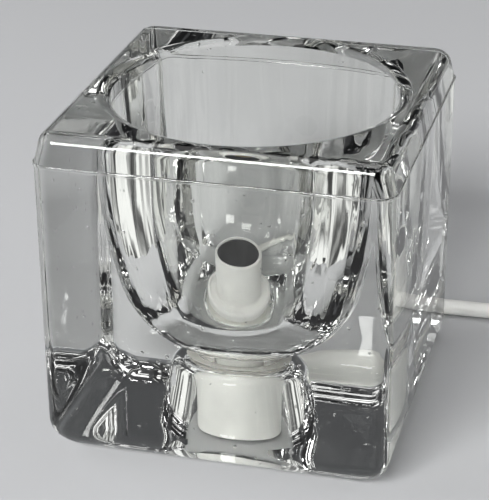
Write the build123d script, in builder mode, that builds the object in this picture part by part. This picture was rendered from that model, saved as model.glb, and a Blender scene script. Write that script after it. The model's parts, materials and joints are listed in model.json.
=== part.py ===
# Cube table lamp: a thick pressed-glass block with a round bowl in its top, a lamp holder clamped
# through the floor of the bowl, and a white mains lead with a rocker switch and a two-pin plug.
# Millimetres. The origin is the middle of the base, +Z is up and the lead leaves towards +Y.
from build123d import *
import math
import os

os.makedirs("parts", exist_ok=True)

# Glass block
GLASS_WIDTH = 140.0  # across the seam, the widest place
GLASS_HEIGHT = 137.5
BASE_DRAFT = 0.4  # each side leans in this much from the seam to the base
TOP_DRAFT = 2.6  # and this much from the seam to the top
SEAM_DROP = 12.5  # the mould seam below the top
SEAM_PROUD = 0.45
SEAM_BAND = 1.0
UPRIGHT_ROUNDING = 7.2
TOP_ROUNDING = 5.9
BASE_ROUNDING = 14.3
BASE_STEPS = 5
RIM_WALL = 12.5  # glass beside the bowl, at the middle of a side
LIP_ROUNDING = 5.6
BOWL_DRAFT = 1.1  # the bowl's wall leans in this much down to its waist
WAIST_RISE = 71.5  # above the bowl's floor
HEEL_INSET = 9.1  # from the bowl's wall in to its heel
HEEL_RISE = 24.7
SEAT_MARGIN = 2.2  # flat floor outside the clamp ring
FLOOR_THICKNESS = 5.5
RECESS_DEPTH = 32.0  # the hollow under the bowl
RECESS_FLARE = 6.4  # it widens this much per side, down to the table
NOTCH_WIDTH = 25.0  # the arch for the lead in the back of the base
NOTCH_HEIGHT = 14.5

# Lamp holder
SLEEVE_DIAMETER = 31.6
SLEEVE_WALL = 1.2
SLEEVE_RISE = 25.7  # above the bowl's floor
SLEEVE_TAIL = 3.0  # below its flange
MOUTH_LIP = 1.0
MOUTH_LIP_INSET = 0.4
FLANGE_DIAMETER = 39.0
FLANGE_THICKNESS = 3.0
HOLE_CLEARANCE = 1.1  # around the sleeve, in the glass
RING_DIAMETER = 45.4
RING_HEIGHT = 3.9
RING_ROUNDING = 1.5
WASHER_WIDTH = 5.0
WASHER_THICKNESS = 1.0
LINER_WALL = 1.0
SHELL_BORE = 14.0  # a small Edison screw
SHELL_WALL = 0.4
SHELL_LENGTH = 18.0
CORE_FLOOR = 6.0
CONTACT_DIAMETER = 6.0
CONTACT_THICKNESS = 2.0
BLOCK_SPACING = 14.0
BLOCK_WIDTH = 6.0
BLOCK_DEPTH = 7.0
BLOCK_HEIGHT = 9.0
BLOCK_RIVET_DIAMETER = 2.8
BLOCK_RIVET_LENGTH = 4.0
FIT = 0.15  # radial gap where one fixed piece sits inside another

# Base cup and plate
CUP_CLEARANCE = 0.8  # between the cup and the glass, at the top of the recess
CUP_DIAMETER = 53.6
CUP_WALL = 2.2
CUP_TOP_WALL = 2.5
CUP_ROUNDING = 4.0
BOSS_DIAMETER = 9.0
BOSS_LENGTH = 18.0
TABLE_GAP = 1.2
PLATE_THICKNESS = 2.0
PLATE_CLEARANCE = 0.3
PLATE_EDGE = 0.8  # outside the heads of its screws
GRIP_BACK = 11.5  # from the middle to the cord grip
GRIP_SPACING = 17.0
GRIP_WIDTH = 6.4
GRIP_THICKNESS = 3.0
GRIP_BOSS_DIAMETER = 6.4
SADDLE_WIDTH = 8.0

# Screws
SCREW_DIAMETER = 3.0
SCREW_HEAD_DIAMETER = 5.4
SCREW_HEAD_HEIGHT = 1.6
SCREW_SLOT_WIDTH = 0.8
SCREW_SLOT_DEPTH = 0.7
PLATE_SCREW_LENGTH = 12.0
GRIP_SCREW_LENGTH = 8.0
SWITCH_SCREW_LENGTH = 9.0
TERMINAL_SCREW_DIAMETER = 2.2
TERMINAL_HEAD_DIAMETER = 3.6

# Lead
CORD_DIAMETER = 7.0
CORE_WIRE_DIAMETER = 2.0
WIRE_SPACING = 2.8  # where the wires leave the sheath
WIRE_BEND = 3.4
BUSH_WALL = 1.0  # of the strain relief, at its tip
BUSH_TAPER = 1.2  # thicker by this at the cup
BUSH_FLANGE = 1.6  # its flanges stand this far above its neck
BUSH_FLANGE_THICKNESS = 2.0
BUSH_START = 16.8  # inner end, from the middle
SHEATH_START = 6.5
COIL_RADIUS = 49.0  # middle of the outer turn
COIL_PITCH = 7.5  # from turn to turn
COIL_RISE = 7.5  # from layer to layer
COIL_TURNS = 6  # in two layers
COIL_CLIMB = 0.5  # of a turn, where the spiral reverses
COIL_STEPS = 4  # for each turn
TIE_THICKNESS = 1.0
TIE_WIDTH = 8.0
TIE_CLEARANCE = 0.7
TIE_GAP = 0.3  # under the coil

# Cord switch
SWITCH_LENGTH = 60.0
SWITCH_WIDTH = 26.0
SWITCH_HEIGHT = 19.0
SWITCH_WALL = 2.0
SWITCH_ROUNDING = 3.0
SWITCH_ENTRY = 5.0  # the cord goes this far in
SWITCH_SCREW_SPACING = 37.0
SWITCH_BOSS_DIAMETER = 6.4
ROCKER_LENGTH = 21.2
ROCKER_WIDTH = 12.4
ROCKER_GAP = 0.4  # in its window
ROCKER_DROP = 4.0  # below its pivot
ROCKER_EDGE = 4.6  # its ends stand this far above the pivot
ROCKER_DIP = 2.2  # and its middle this far
ROCKER_TILT = 10.0  # each way, degrees
PIVOT_DROP = 3.5  # below the top of the switch
PIN_DIAMETER = 2.5
PIN_FIT = 0.05
CHEEK_THICKNESS = 2.0
CHEEK_LENGTH = 8.0
BRIDGE_START = 2.0  # the moving contact, along the rocker
BRIDGE_END = 9.0
BRIDGE_WIDTH = 5.0
BRIDGE_THICKNESS = 0.8
POST_THICKNESS = 1.6
POST_PLACES = (2.4, 8.4)
POST_GAP = 0.4  # under the moving contact when the switch is on

# Two-pin plug
PLUG_LENGTH = 34.0
PLUG_WIDTH = 35.2
PLUG_REAR_WIDTH = 16.0
PLUG_THICKNESS = 13.7
PLUG_NOSE = 14.0  # the full-width part behind the pins
PLUG_ROUNDING = 2.5
BOOT_LENGTH = 22.0
BOOT_RIBS = 4
BOOT_RIB_WIDTH = 2.4
BOOT_GROOVE = 0.8
PLUG_PIN_SPACING = 18.6
PLUG_PIN_DIAMETER = 4.0
PLUG_PIN_TIP = 9.0
PLUG_PIN_CORE_DIAMETER = 2.4
PLUG_PIN_ROOT = 8.0
PIN_SLEEVE_DIAMETER = 3.6
PIN_SLEEVE_LENGTH = 10.0

# Routes of the lead: from the lamp to the switch, on to the coil, and from the coil to the plug
LAY = CORD_DIAMETER / 2  # height of a cord that lies on the table
COIL_LAY = LAY + TIE_THICKNESS + TIE_GAP
COIL_TOP = COIL_LAY + COIL_RISE
PLUG_LAY = PLUG_THICKNESS / 2
LEAD_POINTS = [
    (0, 40, 7),
    (0, 55.5, 7),
    (5.9, 69.8, 5.4),
    (16.9, 80.8, LAY + 0.6),
    (31, 87.2, LAY),
    (48.5, 90.3, LAY),
    (70.4, 91.3, LAY),
    (88.5, 91.4, LAY),
    (104, 91.4, 6),
    (119, 91.4, 6),
]
TAIL_POINTS = [
    (169, 91.4, 6),
    (191.5, 91.4, 6),
    (213, 83, 5.2),
    (230.5, 66.5, COIL_LAY),
    (238, 47, COIL_LAY),
    (238, 30, COIL_LAY),
]
PLUG_LEAD_POINTS = [
    (238, 16, COIL_TOP),
    (238, 4, COIL_TOP),
    (237.5, -10, 8.6),
    (233.5, -23.5, 5.2),
    (225, -35, LAY + 0.1),
    (212.5, -43.5, LAY + 0.2),
    (197, -47.5, PLUG_LAY),
    (166.5, -47.5, PLUG_LAY),
]

# Worked out from the sizes above
half_width = GLASS_WIDTH / 2
base_width = GLASS_WIDTH - 2 * BASE_DRAFT
top_width = GLASS_WIDTH - 2 * TOP_DRAFT
seam_height = GLASS_HEIGHT - SEAM_DROP
floor_top = RECESS_DEPTH + FLOOR_THICKNESS
bowl_radius = half_width - RIM_WALL
seat_radius = RING_DIAMETER / 2 + SEAT_MARGIN
sleeve_radius = SLEEVE_DIAMETER / 2
sleeve_bore = sleeve_radius - SLEEVE_WALL
hole_radius = sleeve_radius + HOLE_CLEARANCE
cup_radius = CUP_DIAMETER / 2
cup_bore = cup_radius - CUP_WALL
cup_top = RECESS_DEPTH - WASHER_THICKNESS
cup_ceiling = cup_top - CUP_TOP_WALL
recess_radius = cup_radius + CUP_CLEARANCE
flange_bottom = cup_ceiling - FLANGE_THICKNESS
sleeve_bottom = flange_bottom - SLEEVE_TAIL
sleeve_top = floor_top + SLEEVE_RISE
core_radius = sleeve_bore - FIT
core_top = sleeve_top - MOUTH_LIP
shell_radius = SHELL_BORE / 2 + SHELL_WALL
shell_bottom = sleeve_bottom + CORE_FLOOR
shell_top = shell_bottom + SHELL_LENGTH
contact_bottom = shell_bottom - CONTACT_THICKNESS
plate_top = TABLE_GAP + PLATE_THICKNESS
head_pocket = SCREW_HEAD_DIAMETER / 2 + FIT
boss_offset = cup_bore - PLATE_CLEARANCE - PLATE_EDGE - head_pocket
cord_radius = CORD_DIAMETER / 2
exit_height = LEAD_POINTS[0][2]
grip_bottom = exit_height + cord_radius + FIT
bush_bore = cord_radius + FIT
bush_tip_radius = bush_bore + BUSH_WALL
bush_neck = bush_tip_radius + BUSH_TAPER - BUSH_FLANGE / 2
bush_flange = bush_neck + BUSH_FLANGE
block_bottom = sleeve_bottom - BLOCK_HEIGHT
screw_radius = SCREW_DIAMETER / 2


def write(piece, node):
    """Labels a finished piece and writes its file."""
    piece.part.label = node
    export_step(piece.part, f"parts/{node}.step")


def ring(outer_radius, inner_radius, bottom, height):
    """A flat ring around the Z axis."""
    with BuildPart() as piece:
        with BuildSketch(Plane.XY.offset(bottom)):
            Circle(outer_radius)
            Circle(inner_radius, mode=Mode.SUBTRACT)
        extrude(amount=height)
    return piece


def screw(plane, length, diameter=SCREW_DIAMETER, head=SCREW_HEAD_DIAMETER):
    """A slotted screw: the plane lies on the underside of its head, and looks along the shank."""
    with BuildPart() as piece:
        with BuildSketch(plane):
            Circle(diameter / 2)
        extrude(amount=length)
        with BuildSketch(plane):
            Circle(head / 2)
        extrude(amount=-SCREW_HEAD_HEIGHT)
        with BuildSketch(plane.offset(-SCREW_HEAD_HEIGHT)):
            Rectangle(head, SCREW_SLOT_WIDTH)
        extrude(amount=SCREW_SLOT_DEPTH, mode=Mode.SUBTRACT)
    return piece


def corner_radii(points):
    """The largest even bend at each corner of a route: 0.45 of the shorter run beside it."""
    spots = [Vector(*point) for point in points]
    radii = []
    for before, corner, after in zip(spots, spots[1:], spots[2:]):
        turn = math.radians((corner - before).get_angle(after - corner))
        run = min((corner - before).length, (after - corner).length)
        radii.append(0.45 * run / math.tan(turn / 2))
    return radii


def tube(points, radius, radii):
    """A round tube along straight runs joined by arcs."""
    with BuildPart() as piece:
        with BuildLine() as route:
            FilletPolyline(*points, radius=radii)
        with BuildSketch(Plane(origin=points[0], z_dir=Vector(*points[1]) - Vector(*points[0]))):
            Circle(radius)
        sweep()
    length = route.wire().length
    share = piece.part.volume / (math.pi * radius**2 * length)
    print(f"tube: length {length:.1f}, least radius {min(radii):.1f}, volume share {share:.4f}")
    return piece


# Glass block with its bowl, the recess below and the arch for the lead
with BuildPart() as glass_cube:
    for step in range(BASE_STEPS + 1):
        turn = math.radians(90 * step / BASE_STEPS)
        inset = BASE_ROUNDING * (1 - math.sin(turn))
        with BuildSketch(Plane.XY.offset(BASE_ROUNDING * (1 - math.cos(turn)))):
            RectangleRounded(base_width - 2 * inset, base_width - 2 * inset, UPRIGHT_ROUNDING)
    loft()
    for width, height in ((base_width, BASE_ROUNDING), (GLASS_WIDTH, seam_height)):
        with BuildSketch(Plane.XY.offset(height)):
            RectangleRounded(width, width, UPRIGHT_ROUNDING)
    loft()
    for width, height in ((GLASS_WIDTH, seam_height), (top_width, GLASS_HEIGHT)):
        with BuildSketch(Plane.XY.offset(height)):
            RectangleRounded(width, width, UPRIGHT_ROUNDING)
    loft()
    fillet(glass_cube.edges().group_by(Axis.Z)[-1], TOP_ROUNDING)
    seam_width = GLASS_WIDTH + 2 * SEAM_PROUD
    with BuildSketch(Plane.XY.offset(seam_height)):
        RectangleRounded(seam_width, seam_width, UPRIGHT_ROUNDING + SEAM_PROUD)
    extrude(amount=SEAM_BAND / 2, both=True)
    lip_foot = (bowl_radius, GLASS_HEIGHT - LIP_ROUNDING)
    lip_edge = (bowl_radius + LIP_ROUNDING, GLASS_HEIGHT)
    waist = (bowl_radius - BOWL_DRAFT, floor_top + WAIST_RISE)
    heel = (bowl_radius - HEEL_INSET, floor_top + HEEL_RISE)
    with BuildSketch(Plane.XZ):
        with BuildLine():
            TangentArc(lip_foot, lip_edge, tangent=(0, 1))
            wall = Line(lip_foot, waist)
            side = TangentArc(waist, heel, tangent=wall % 1)
            TangentArc(heel, (seat_radius, floor_top), tangent=side % 1)
            Polyline((seat_radius, floor_top), (0, floor_top), (0, GLASS_HEIGHT), lip_edge)
        make_face()
    revolve(axis=Axis.Z, mode=Mode.SUBTRACT)
    Cone(
        bottom_radius=recess_radius + RECESS_FLARE,
        top_radius=recess_radius,
        height=RECESS_DEPTH,
        align=(Align.CENTER, Align.CENTER, Align.MIN),
        mode=Mode.SUBTRACT,
    )
    with BuildSketch(Plane.XY.offset(RECESS_DEPTH)):
        Circle(hole_radius)
    extrude(amount=FLOOR_THICKNESS, mode=Mode.SUBTRACT)
    arch_centre = NOTCH_HEIGHT - NOTCH_WIDTH / 2
    with BuildSketch(Plane.XZ):
        Rectangle(NOTCH_WIDTH, 2 * arch_centre)
        with Locations((0, arch_centre)):
            Circle(NOTCH_WIDTH / 2)
    extrude(amount=-half_width, mode=Mode.SUBTRACT)
write(glass_cube, "glass_cube")

# Lamp holder, clamped through the floor of the bowl
with BuildPart() as holder_sleeve:
    with BuildSketch(Plane.XY.offset(sleeve_bottom)):
        Circle(sleeve_radius)
    extrude(amount=sleeve_top - sleeve_bottom)
    fillet(holder_sleeve.edges().group_by(Axis.Z)[-1], SLEEVE_WALL / 2)
    with BuildSketch(Plane.XY.offset(flange_bottom)):
        Circle(FLANGE_DIAMETER / 2)
    extrude(amount=FLANGE_THICKNESS)
    with BuildSketch(Plane.XY.offset(sleeve_bottom)):
        Circle(sleeve_bore)
    extrude(amount=core_top - sleeve_bottom, mode=Mode.SUBTRACT)
    with BuildSketch(Plane.XY.offset(core_top)):
        Circle(sleeve_bore - MOUTH_LIP_INSET)
    extrude(amount=MOUTH_LIP, mode=Mode.SUBTRACT)
write(holder_sleeve, "holder_sleeve")

with BuildPart() as clamp_ring:
    with BuildSketch(Plane.XY.offset(floor_top + WASHER_THICKNESS)):
        Circle(RING_DIAMETER / 2)
    extrude(amount=RING_HEIGHT)
    fillet(clamp_ring.edges().group_by(Axis.Z)[-1], RING_ROUNDING)
    with BuildSketch(Plane.XY.offset(floor_top + WASHER_THICKNESS)):
        Circle(sleeve_radius + FIT)
    extrude(amount=RING_HEIGHT, mode=Mode.SUBTRACT)
write(clamp_ring, "clamp_ring")

washer_outer = hole_radius + WASHER_WIDTH
write(ring(washer_outer, hole_radius, floor_top, WASHER_THICKNESS), "upper_washer")
write(ring(washer_outer, hole_radius, cup_top, WASHER_THICKNESS), "lower_washer")

with BuildPart() as holder_core:
    with BuildSketch(Plane.XY.offset(sleeve_bottom)):
        Circle(core_radius)
    extrude(amount=core_top - sleeve_bottom)
    with BuildSketch(Plane.XY.offset(shell_top)):
        Circle(core_radius - LINER_WALL)
    extrude(amount=core_top - shell_top, mode=Mode.SUBTRACT)
    with BuildSketch(Plane.XY.offset(shell_bottom)):
        Circle(shell_radius + FIT)
    extrude(amount=SHELL_LENGTH, mode=Mode.SUBTRACT)
    with BuildSketch(Plane.XY.offset(contact_bottom)):
        Circle(CONTACT_DIAMETER / 2 + FIT)
    extrude(amount=CONTACT_THICKNESS, mode=Mode.SUBTRACT)
    with BuildSketch(Plane.XY.offset(sleeve_bottom)):
        with GridLocations(BLOCK_SPACING, 0, 2, 1):
            Circle(BLOCK_RIVET_DIAMETER / 2 + FIT)
    extrude(amount=BLOCK_RIVET_LENGTH + FIT, mode=Mode.SUBTRACT)
write(holder_core, "holder_core")

write(ring(shell_radius, SHELL_BORE / 2, shell_bottom, SHELL_LENGTH), "screw_shell")

with BuildPart() as centre_contact:
    with BuildSketch(Plane.XY.offset(contact_bottom)):
        Circle(CONTACT_DIAMETER / 2)
    extrude(amount=CONTACT_THICKNESS)
    fillet(centre_contact.edges().group_by(Axis.Z)[-1], CONTACT_THICKNESS / 4)
write(centre_contact, "centre_contact")

# Terminals under the holder, with the two wires that come up to them
wire_radius = CORE_WIRE_DIAMETER / 2
wire_hole = wire_radius + FIT
wire_hole_depth = BLOCK_HEIGHT / 2
screw_height = block_bottom + wire_hole_depth / 2
for number, side in enumerate((-1, 1), start=1):
    place = side * BLOCK_SPACING / 2
    with BuildPart() as block:
        with BuildSketch(Plane.XY.offset(block_bottom)):
            with Locations((place, 0)):
                Rectangle(BLOCK_WIDTH, BLOCK_DEPTH)
        extrude(amount=BLOCK_HEIGHT)
        with BuildSketch(Plane.XY.offset(sleeve_bottom)):
            with Locations((place, 0)):
                Circle(BLOCK_RIVET_DIAMETER / 2)
        extrude(amount=BLOCK_RIVET_LENGTH)
        with BuildSketch(Plane.XY.offset(block_bottom)):
            with Locations((place, 0)):
                Circle(wire_hole)
        extrude(amount=wire_hole_depth, mode=Mode.SUBTRACT)
        with BuildSketch(Plane((place, -BLOCK_DEPTH / 2, screw_height), z_dir=(0, 1, 0))):
            Circle(TERMINAL_SCREW_DIAMETER / 2 + FIT)
        extrude(amount=BLOCK_DEPTH / 2 - wire_hole, mode=Mode.SUBTRACT)
    write(block, f"terminal_block_{number}")
    head_seat = Plane((place, -BLOCK_DEPTH / 2, screw_height), z_dir=(0, 1, 0))
    grip_length = BLOCK_DEPTH / 2 - wire_hole
    clamp = screw(head_seat, grip_length, TERMINAL_SCREW_DIAMETER, TERMINAL_HEAD_DIAMETER)
    write(clamp, f"terminal_screw_{number}")
    wire_points = [
        (side * WIRE_SPACING / 2, SHEATH_START - wire_radius, exit_height),
        (place, 0, exit_height),
        (place, 0, block_bottom + wire_hole_depth - FIT),
    ]
    write(tube(wire_points, wire_radius, [WIRE_BEND]), f"core_wire_{number}")

# Cup under the bowl, with its plate and the grip that holds the lead
with BuildPart() as base_cup:
    with BuildSketch(Plane.XY.offset(TABLE_GAP)):
        Circle(cup_radius)
    extrude(amount=cup_top - TABLE_GAP)
    fillet(base_cup.edges().group_by(Axis.Z)[-1], CUP_ROUNDING)
    with BuildSketch(Plane.XY.offset(TABLE_GAP)):
        Circle(cup_bore)
    extrude(amount=cup_ceiling - TABLE_GAP, mode=Mode.SUBTRACT)
    with BuildSketch(Plane.XY.offset(plate_top)):
        with GridLocations(2 * boss_offset, 0, 2, 1):
            Circle(BOSS_DIAMETER / 2)
    extrude(amount=BOSS_LENGTH)
    with BuildSketch(Plane.XY.offset(plate_top)):
        with GridLocations(2 * boss_offset, 0, 2, 1):
            Circle(screw_radius + FIT)
    extrude(amount=PLATE_SCREW_LENGTH, mode=Mode.SUBTRACT)
    with BuildSketch(Plane.XY.offset(cup_ceiling)):
        Circle(sleeve_radius + FIT)
    extrude(amount=CUP_TOP_WALL, mode=Mode.SUBTRACT)
    with BuildSketch(Plane.XZ):
        with Locations((0, exit_height)):
            Circle(bush_neck + FIT)
        Rectangle(2 * (bush_neck + FIT), 2 * exit_height)
    extrude(amount=-cup_radius, mode=Mode.SUBTRACT)
write(base_cup, "base_cup")

with BuildPart() as base_plate:
    with BuildSketch(Plane.XY.offset(TABLE_GAP)):
        Circle(cup_bore - PLATE_CLEARANCE)
        with Locations((0, BUSH_START - PLATE_CLEARANCE)):
            Rectangle(
                2 * (bush_flange + PLATE_CLEARANCE),
                cup_radius,
                align=(Align.CENTER, Align.MIN),
                mode=Mode.SUBTRACT,
            )
    extrude(amount=PLATE_THICKNESS)
    with BuildSketch(Plane.XY.offset(plate_top)):
        with Locations((0, GRIP_BACK)):
            Rectangle(SADDLE_WIDTH, GRIP_WIDTH)
    extrude(amount=exit_height - cord_radius - FIT - plate_top)
    with BuildSketch(Plane.XY.offset(plate_top)):
        with Locations((0, GRIP_BACK)):
            with GridLocations(GRIP_SPACING, 0, 2, 1):
                Circle(GRIP_BOSS_DIAMETER / 2)
                Circle(screw_radius + FIT, mode=Mode.SUBTRACT)
    extrude(amount=grip_bottom - plate_top)
    with BuildSketch(Plane.XY.offset(TABLE_GAP)):
        with GridLocations(2 * boss_offset, 0, 2, 1):
            Circle(screw_radius + FIT)
    extrude(amount=PLATE_THICKNESS, mode=Mode.SUBTRACT)
    with BuildSketch(Plane.XY.offset(TABLE_GAP)):
        with GridLocations(2 * boss_offset, 0, 2, 1):
            Circle(head_pocket)
    extrude(amount=PLATE_THICKNESS / 2, mode=Mode.SUBTRACT)
write(base_plate, "base_plate")

with BuildPart() as cord_grip:
    with BuildSketch(Plane.XY.offset(grip_bottom)):
        with Locations((0, GRIP_BACK)):
            SlotOverall(GRIP_SPACING + GRIP_WIDTH, GRIP_WIDTH)
            with GridLocations(GRIP_SPACING, 0, 2, 1):
                Circle(screw_radius + FIT, mode=Mode.SUBTRACT)
    extrude(amount=GRIP_THICKNESS)
write(cord_grip, "cord_grip")

for number, side in enumerate((-1, 1), start=1):
    seat = Plane((side * boss_offset, 0, TABLE_GAP + PLATE_THICKNESS / 2), z_dir=(0, 0, 1))
    write(screw(seat, PLATE_SCREW_LENGTH), f"plate_screw_{number}")
    seat = Plane((side * GRIP_SPACING / 2, GRIP_BACK, grip_bottom + GRIP_THICKNESS), z_dir=(0, 0, -1))
    write(screw(seat, GRIP_SCREW_LENGTH), f"grip_screw_{number}")

# Strain relief in the cup's wall, and the end of the lead inside it
bush_tip = LEAD_POINTS[0][1]
wall_inside = math.sqrt(cup_bore**2 - bush_flange**2) - FIT
wall_outside = cup_radius + FIT
with BuildPart() as cord_bush:
    with BuildSketch(Plane.YZ):
        with BuildLine():
            Polyline(
                (BUSH_START, exit_height + bush_bore),
                (BUSH_START, exit_height + bush_tip_radius),
                (wall_inside - BUSH_FLANGE_THICKNESS, exit_height + bush_neck),
                (wall_inside - BUSH_FLANGE_THICKNESS, exit_height + bush_flange),
                (wall_inside, exit_height + bush_flange),
                (wall_inside, exit_height + bush_neck),
                (wall_outside, exit_height + bush_neck),
                (wall_outside, exit_height + bush_flange),
                (wall_outside + BUSH_FLANGE_THICKNESS, exit_height + bush_flange),
                (bush_tip, exit_height + bush_tip_radius),
                (bush_tip, exit_height + bush_bore),
                close=True,
            )
        make_face()
    revolve(axis=Axis((0, 0, exit_height), (0, 1, 0)))
write(cord_bush, "cord_bush")

with BuildPart() as cord_sheath:
    with BuildSketch(Plane((0, SHEATH_START, exit_height), z_dir=(0, 1, 0))):
        Circle(cord_radius)
    extrude(amount=bush_tip - SHEATH_START)
write(cord_sheath, "cord_sheath")

# Free stretches of the lead
for node, points in (
    ("cord_lead", LEAD_POINTS),
    ("cord_tail", TAIL_POINTS),
    ("plug_lead", PLUG_LEAD_POINTS),
):
    write(tube(points, cord_radius, corner_radii(points)), node)

# Coil of the spare length: in along the lower layer, up half a turn, and out along the upper one
coil_x = TAIL_POINTS[-1][0] - COIL_RADIUS
coil_y = TAIL_POINTS[-1][1] - CORD_DIAMETER
climb_start = (COIL_TURNS - COIL_CLIMB) / 2


def coil_spot(turns):
    """A point of the coil's middle line, after so many clockwise turns."""
    climb = min(max((turns - climb_start) / COIL_CLIMB, 0), 1)
    radius = COIL_RADIUS - COIL_PITCH * min(turns, COIL_TURNS - turns)
    height = COIL_LAY + COIL_RISE * climb * climb * (3 - 2 * climb)
    angle = -2 * math.pi * turns
    return Vector(coil_x + radius * math.cos(angle), coil_y + radius * math.sin(angle), height)


def coil_heading(turns, step=1e-4):
    """The direction of the coil there; it starts and ends square to the radius."""
    if turns in (0, COIL_TURNS):
        return Vector(0, -1, 0)
    return (coil_spot(turns + step) - coil_spot(turns - step)).normalized()


def biarc(start, start_heading, end, end_heading):
    """Two arcs that meet smoothly, from one point and direction to another."""
    chord = end - start
    along = chord.dot(start_heading + end_heading)
    spread = 2 * (1 - start_heading.dot(end_heading))
    reach = (math.sqrt(along**2 + spread * chord.dot(chord)) - along) / spread
    knee = start + start_heading * reach
    middle = (knee + end - end_heading * reach) / 2
    TangentArc(start, middle, tangent=start_heading)
    TangentArc(middle, end, tangent=middle - knee)


with BuildPart() as cord_coil:
    with BuildLine() as coil_line:
        first, last = coil_spot(0), coil_spot(COIL_TURNS)
        Line(first + Vector(0, CORD_DIAMETER, 0), first)
        for step in range(COIL_TURNS * COIL_STEPS):
            here, there = step / COIL_STEPS, (step + 1) / COIL_STEPS
            biarc(coil_spot(here), coil_heading(here), coil_spot(there), coil_heading(there))
        Line(last, last - Vector(0, CORD_DIAMETER, 0))
    with BuildSketch(Plane(first + Vector(0, CORD_DIAMETER, 0), z_dir=(0, -1, 0))):
        Circle(cord_radius)
    sweep()
write(cord_coil, "cord_coil")

coil_wire = coil_line.wire()
samples = 900
spots = [tuple(coil_wire @ (index / samples)) for index in range(samples + 1)]
apart = round(4 * CORD_DIAMETER / coil_wire.length * samples)
least = min(
    math.dist(spots[i], spots[j]) for i in range(len(spots)) for j in range(i + apart, len(spots))
)
coil_share = cord_coil.part.volume / (math.pi * cord_radius**2 * coil_wire.length)
coil_gap = least - CORD_DIAMETER
print(f"coil: length {coil_wire.length:.1f}, least gap {coil_gap:.2f}, volume share {coil_share:.4f}")

# Tie around the turns, on the side away from where the lead comes and goes
tie_radii = [COIL_RADIUS - COIL_PITCH * (turn + 0.5) for turn in range(COIL_TURNS // 2)]
tie_span = max(tie_radii) - min(tie_radii) + CORD_DIAMETER + 2 * TIE_CLEARANCE
tie_rise = COIL_RISE + CORD_DIAMETER + TIE_GAP + TIE_CLEARANCE
tie_middle = (max(tie_radii) + min(tie_radii)) / 2
with BuildPart() as coil_tie:
    tie_centre = (coil_x - tie_middle, coil_y, TIE_THICKNESS + tie_rise / 2)
    with BuildSketch(Plane(tie_centre, x_dir=(1, 0, 0), z_dir=(0, -1, 0))):
        RectangleRounded(tie_span + 2 * TIE_THICKNESS, tie_rise + 2 * TIE_THICKNESS, 2 * TIE_THICKNESS)
        RectangleRounded(tie_span, tie_rise, TIE_THICKNESS, mode=Mode.SUBTRACT)
    extrude(amount=TIE_WIDTH / 2, both=True)
write(coil_tie, "coil_tie")

# Cord switch between the lead and its tail
entry_x, switch_y, split_height = LEAD_POINTS[-1]
switch_x = entry_x - SWITCH_ENTRY + SWITCH_LENGTH / 2
inner_length = SWITCH_LENGTH - 2 * SWITCH_WALL
inner_width = SWITCH_WIDTH - 2 * SWITCH_WALL
pivot_height = SWITCH_HEIGHT - PIVOT_DROP
channel = Plane((switch_x, switch_y, split_height), z_dir=(1, 0, 0))
tilt = math.radians(ROCKER_TILT)


def switch_plane(height):
    """The level of the switch at some height above the table."""
    return Plane((switch_x, switch_y, height))


with BuildPart() as switch_base:
    with BuildSketch(switch_plane(0)):
        SlotOverall(SWITCH_LENGTH, SWITCH_WIDTH)
    extrude(amount=split_height)
    fillet(switch_base.edges().group_by(Axis.Z)[0], SWITCH_WALL / 2)
    with BuildSketch(switch_plane(SWITCH_WALL)):
        SlotOverall(inner_length, inner_width)
    extrude(amount=split_height - SWITCH_WALL, mode=Mode.SUBTRACT)
    with BuildSketch(switch_plane(SWITCH_WALL)):
        with GridLocations(SWITCH_SCREW_SPACING, 0, 2, 1):
            Circle(SWITCH_BOSS_DIAMETER / 2)
    extrude(amount=split_height - SWITCH_WALL)
    with BuildSketch(switch_plane(0)):
        with GridLocations(SWITCH_SCREW_SPACING, 0, 2, 1):
            Circle(screw_radius + FIT)
    extrude(amount=split_height, mode=Mode.SUBTRACT)
    with BuildSketch(switch_plane(0)):
        with GridLocations(SWITCH_SCREW_SPACING, 0, 2, 1):
            Circle(head_pocket)
    extrude(amount=SWITCH_WALL, mode=Mode.SUBTRACT)
    for end in (-1, 1):
        with BuildSketch(channel.offset(end * (SWITCH_LENGTH / 2 - SWITCH_ENTRY))):
            Circle(cord_radius + FIT)
        extrude(amount=end * SWITCH_ENTRY, mode=Mode.SUBTRACT)
write(switch_base, "switch_base")

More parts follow.
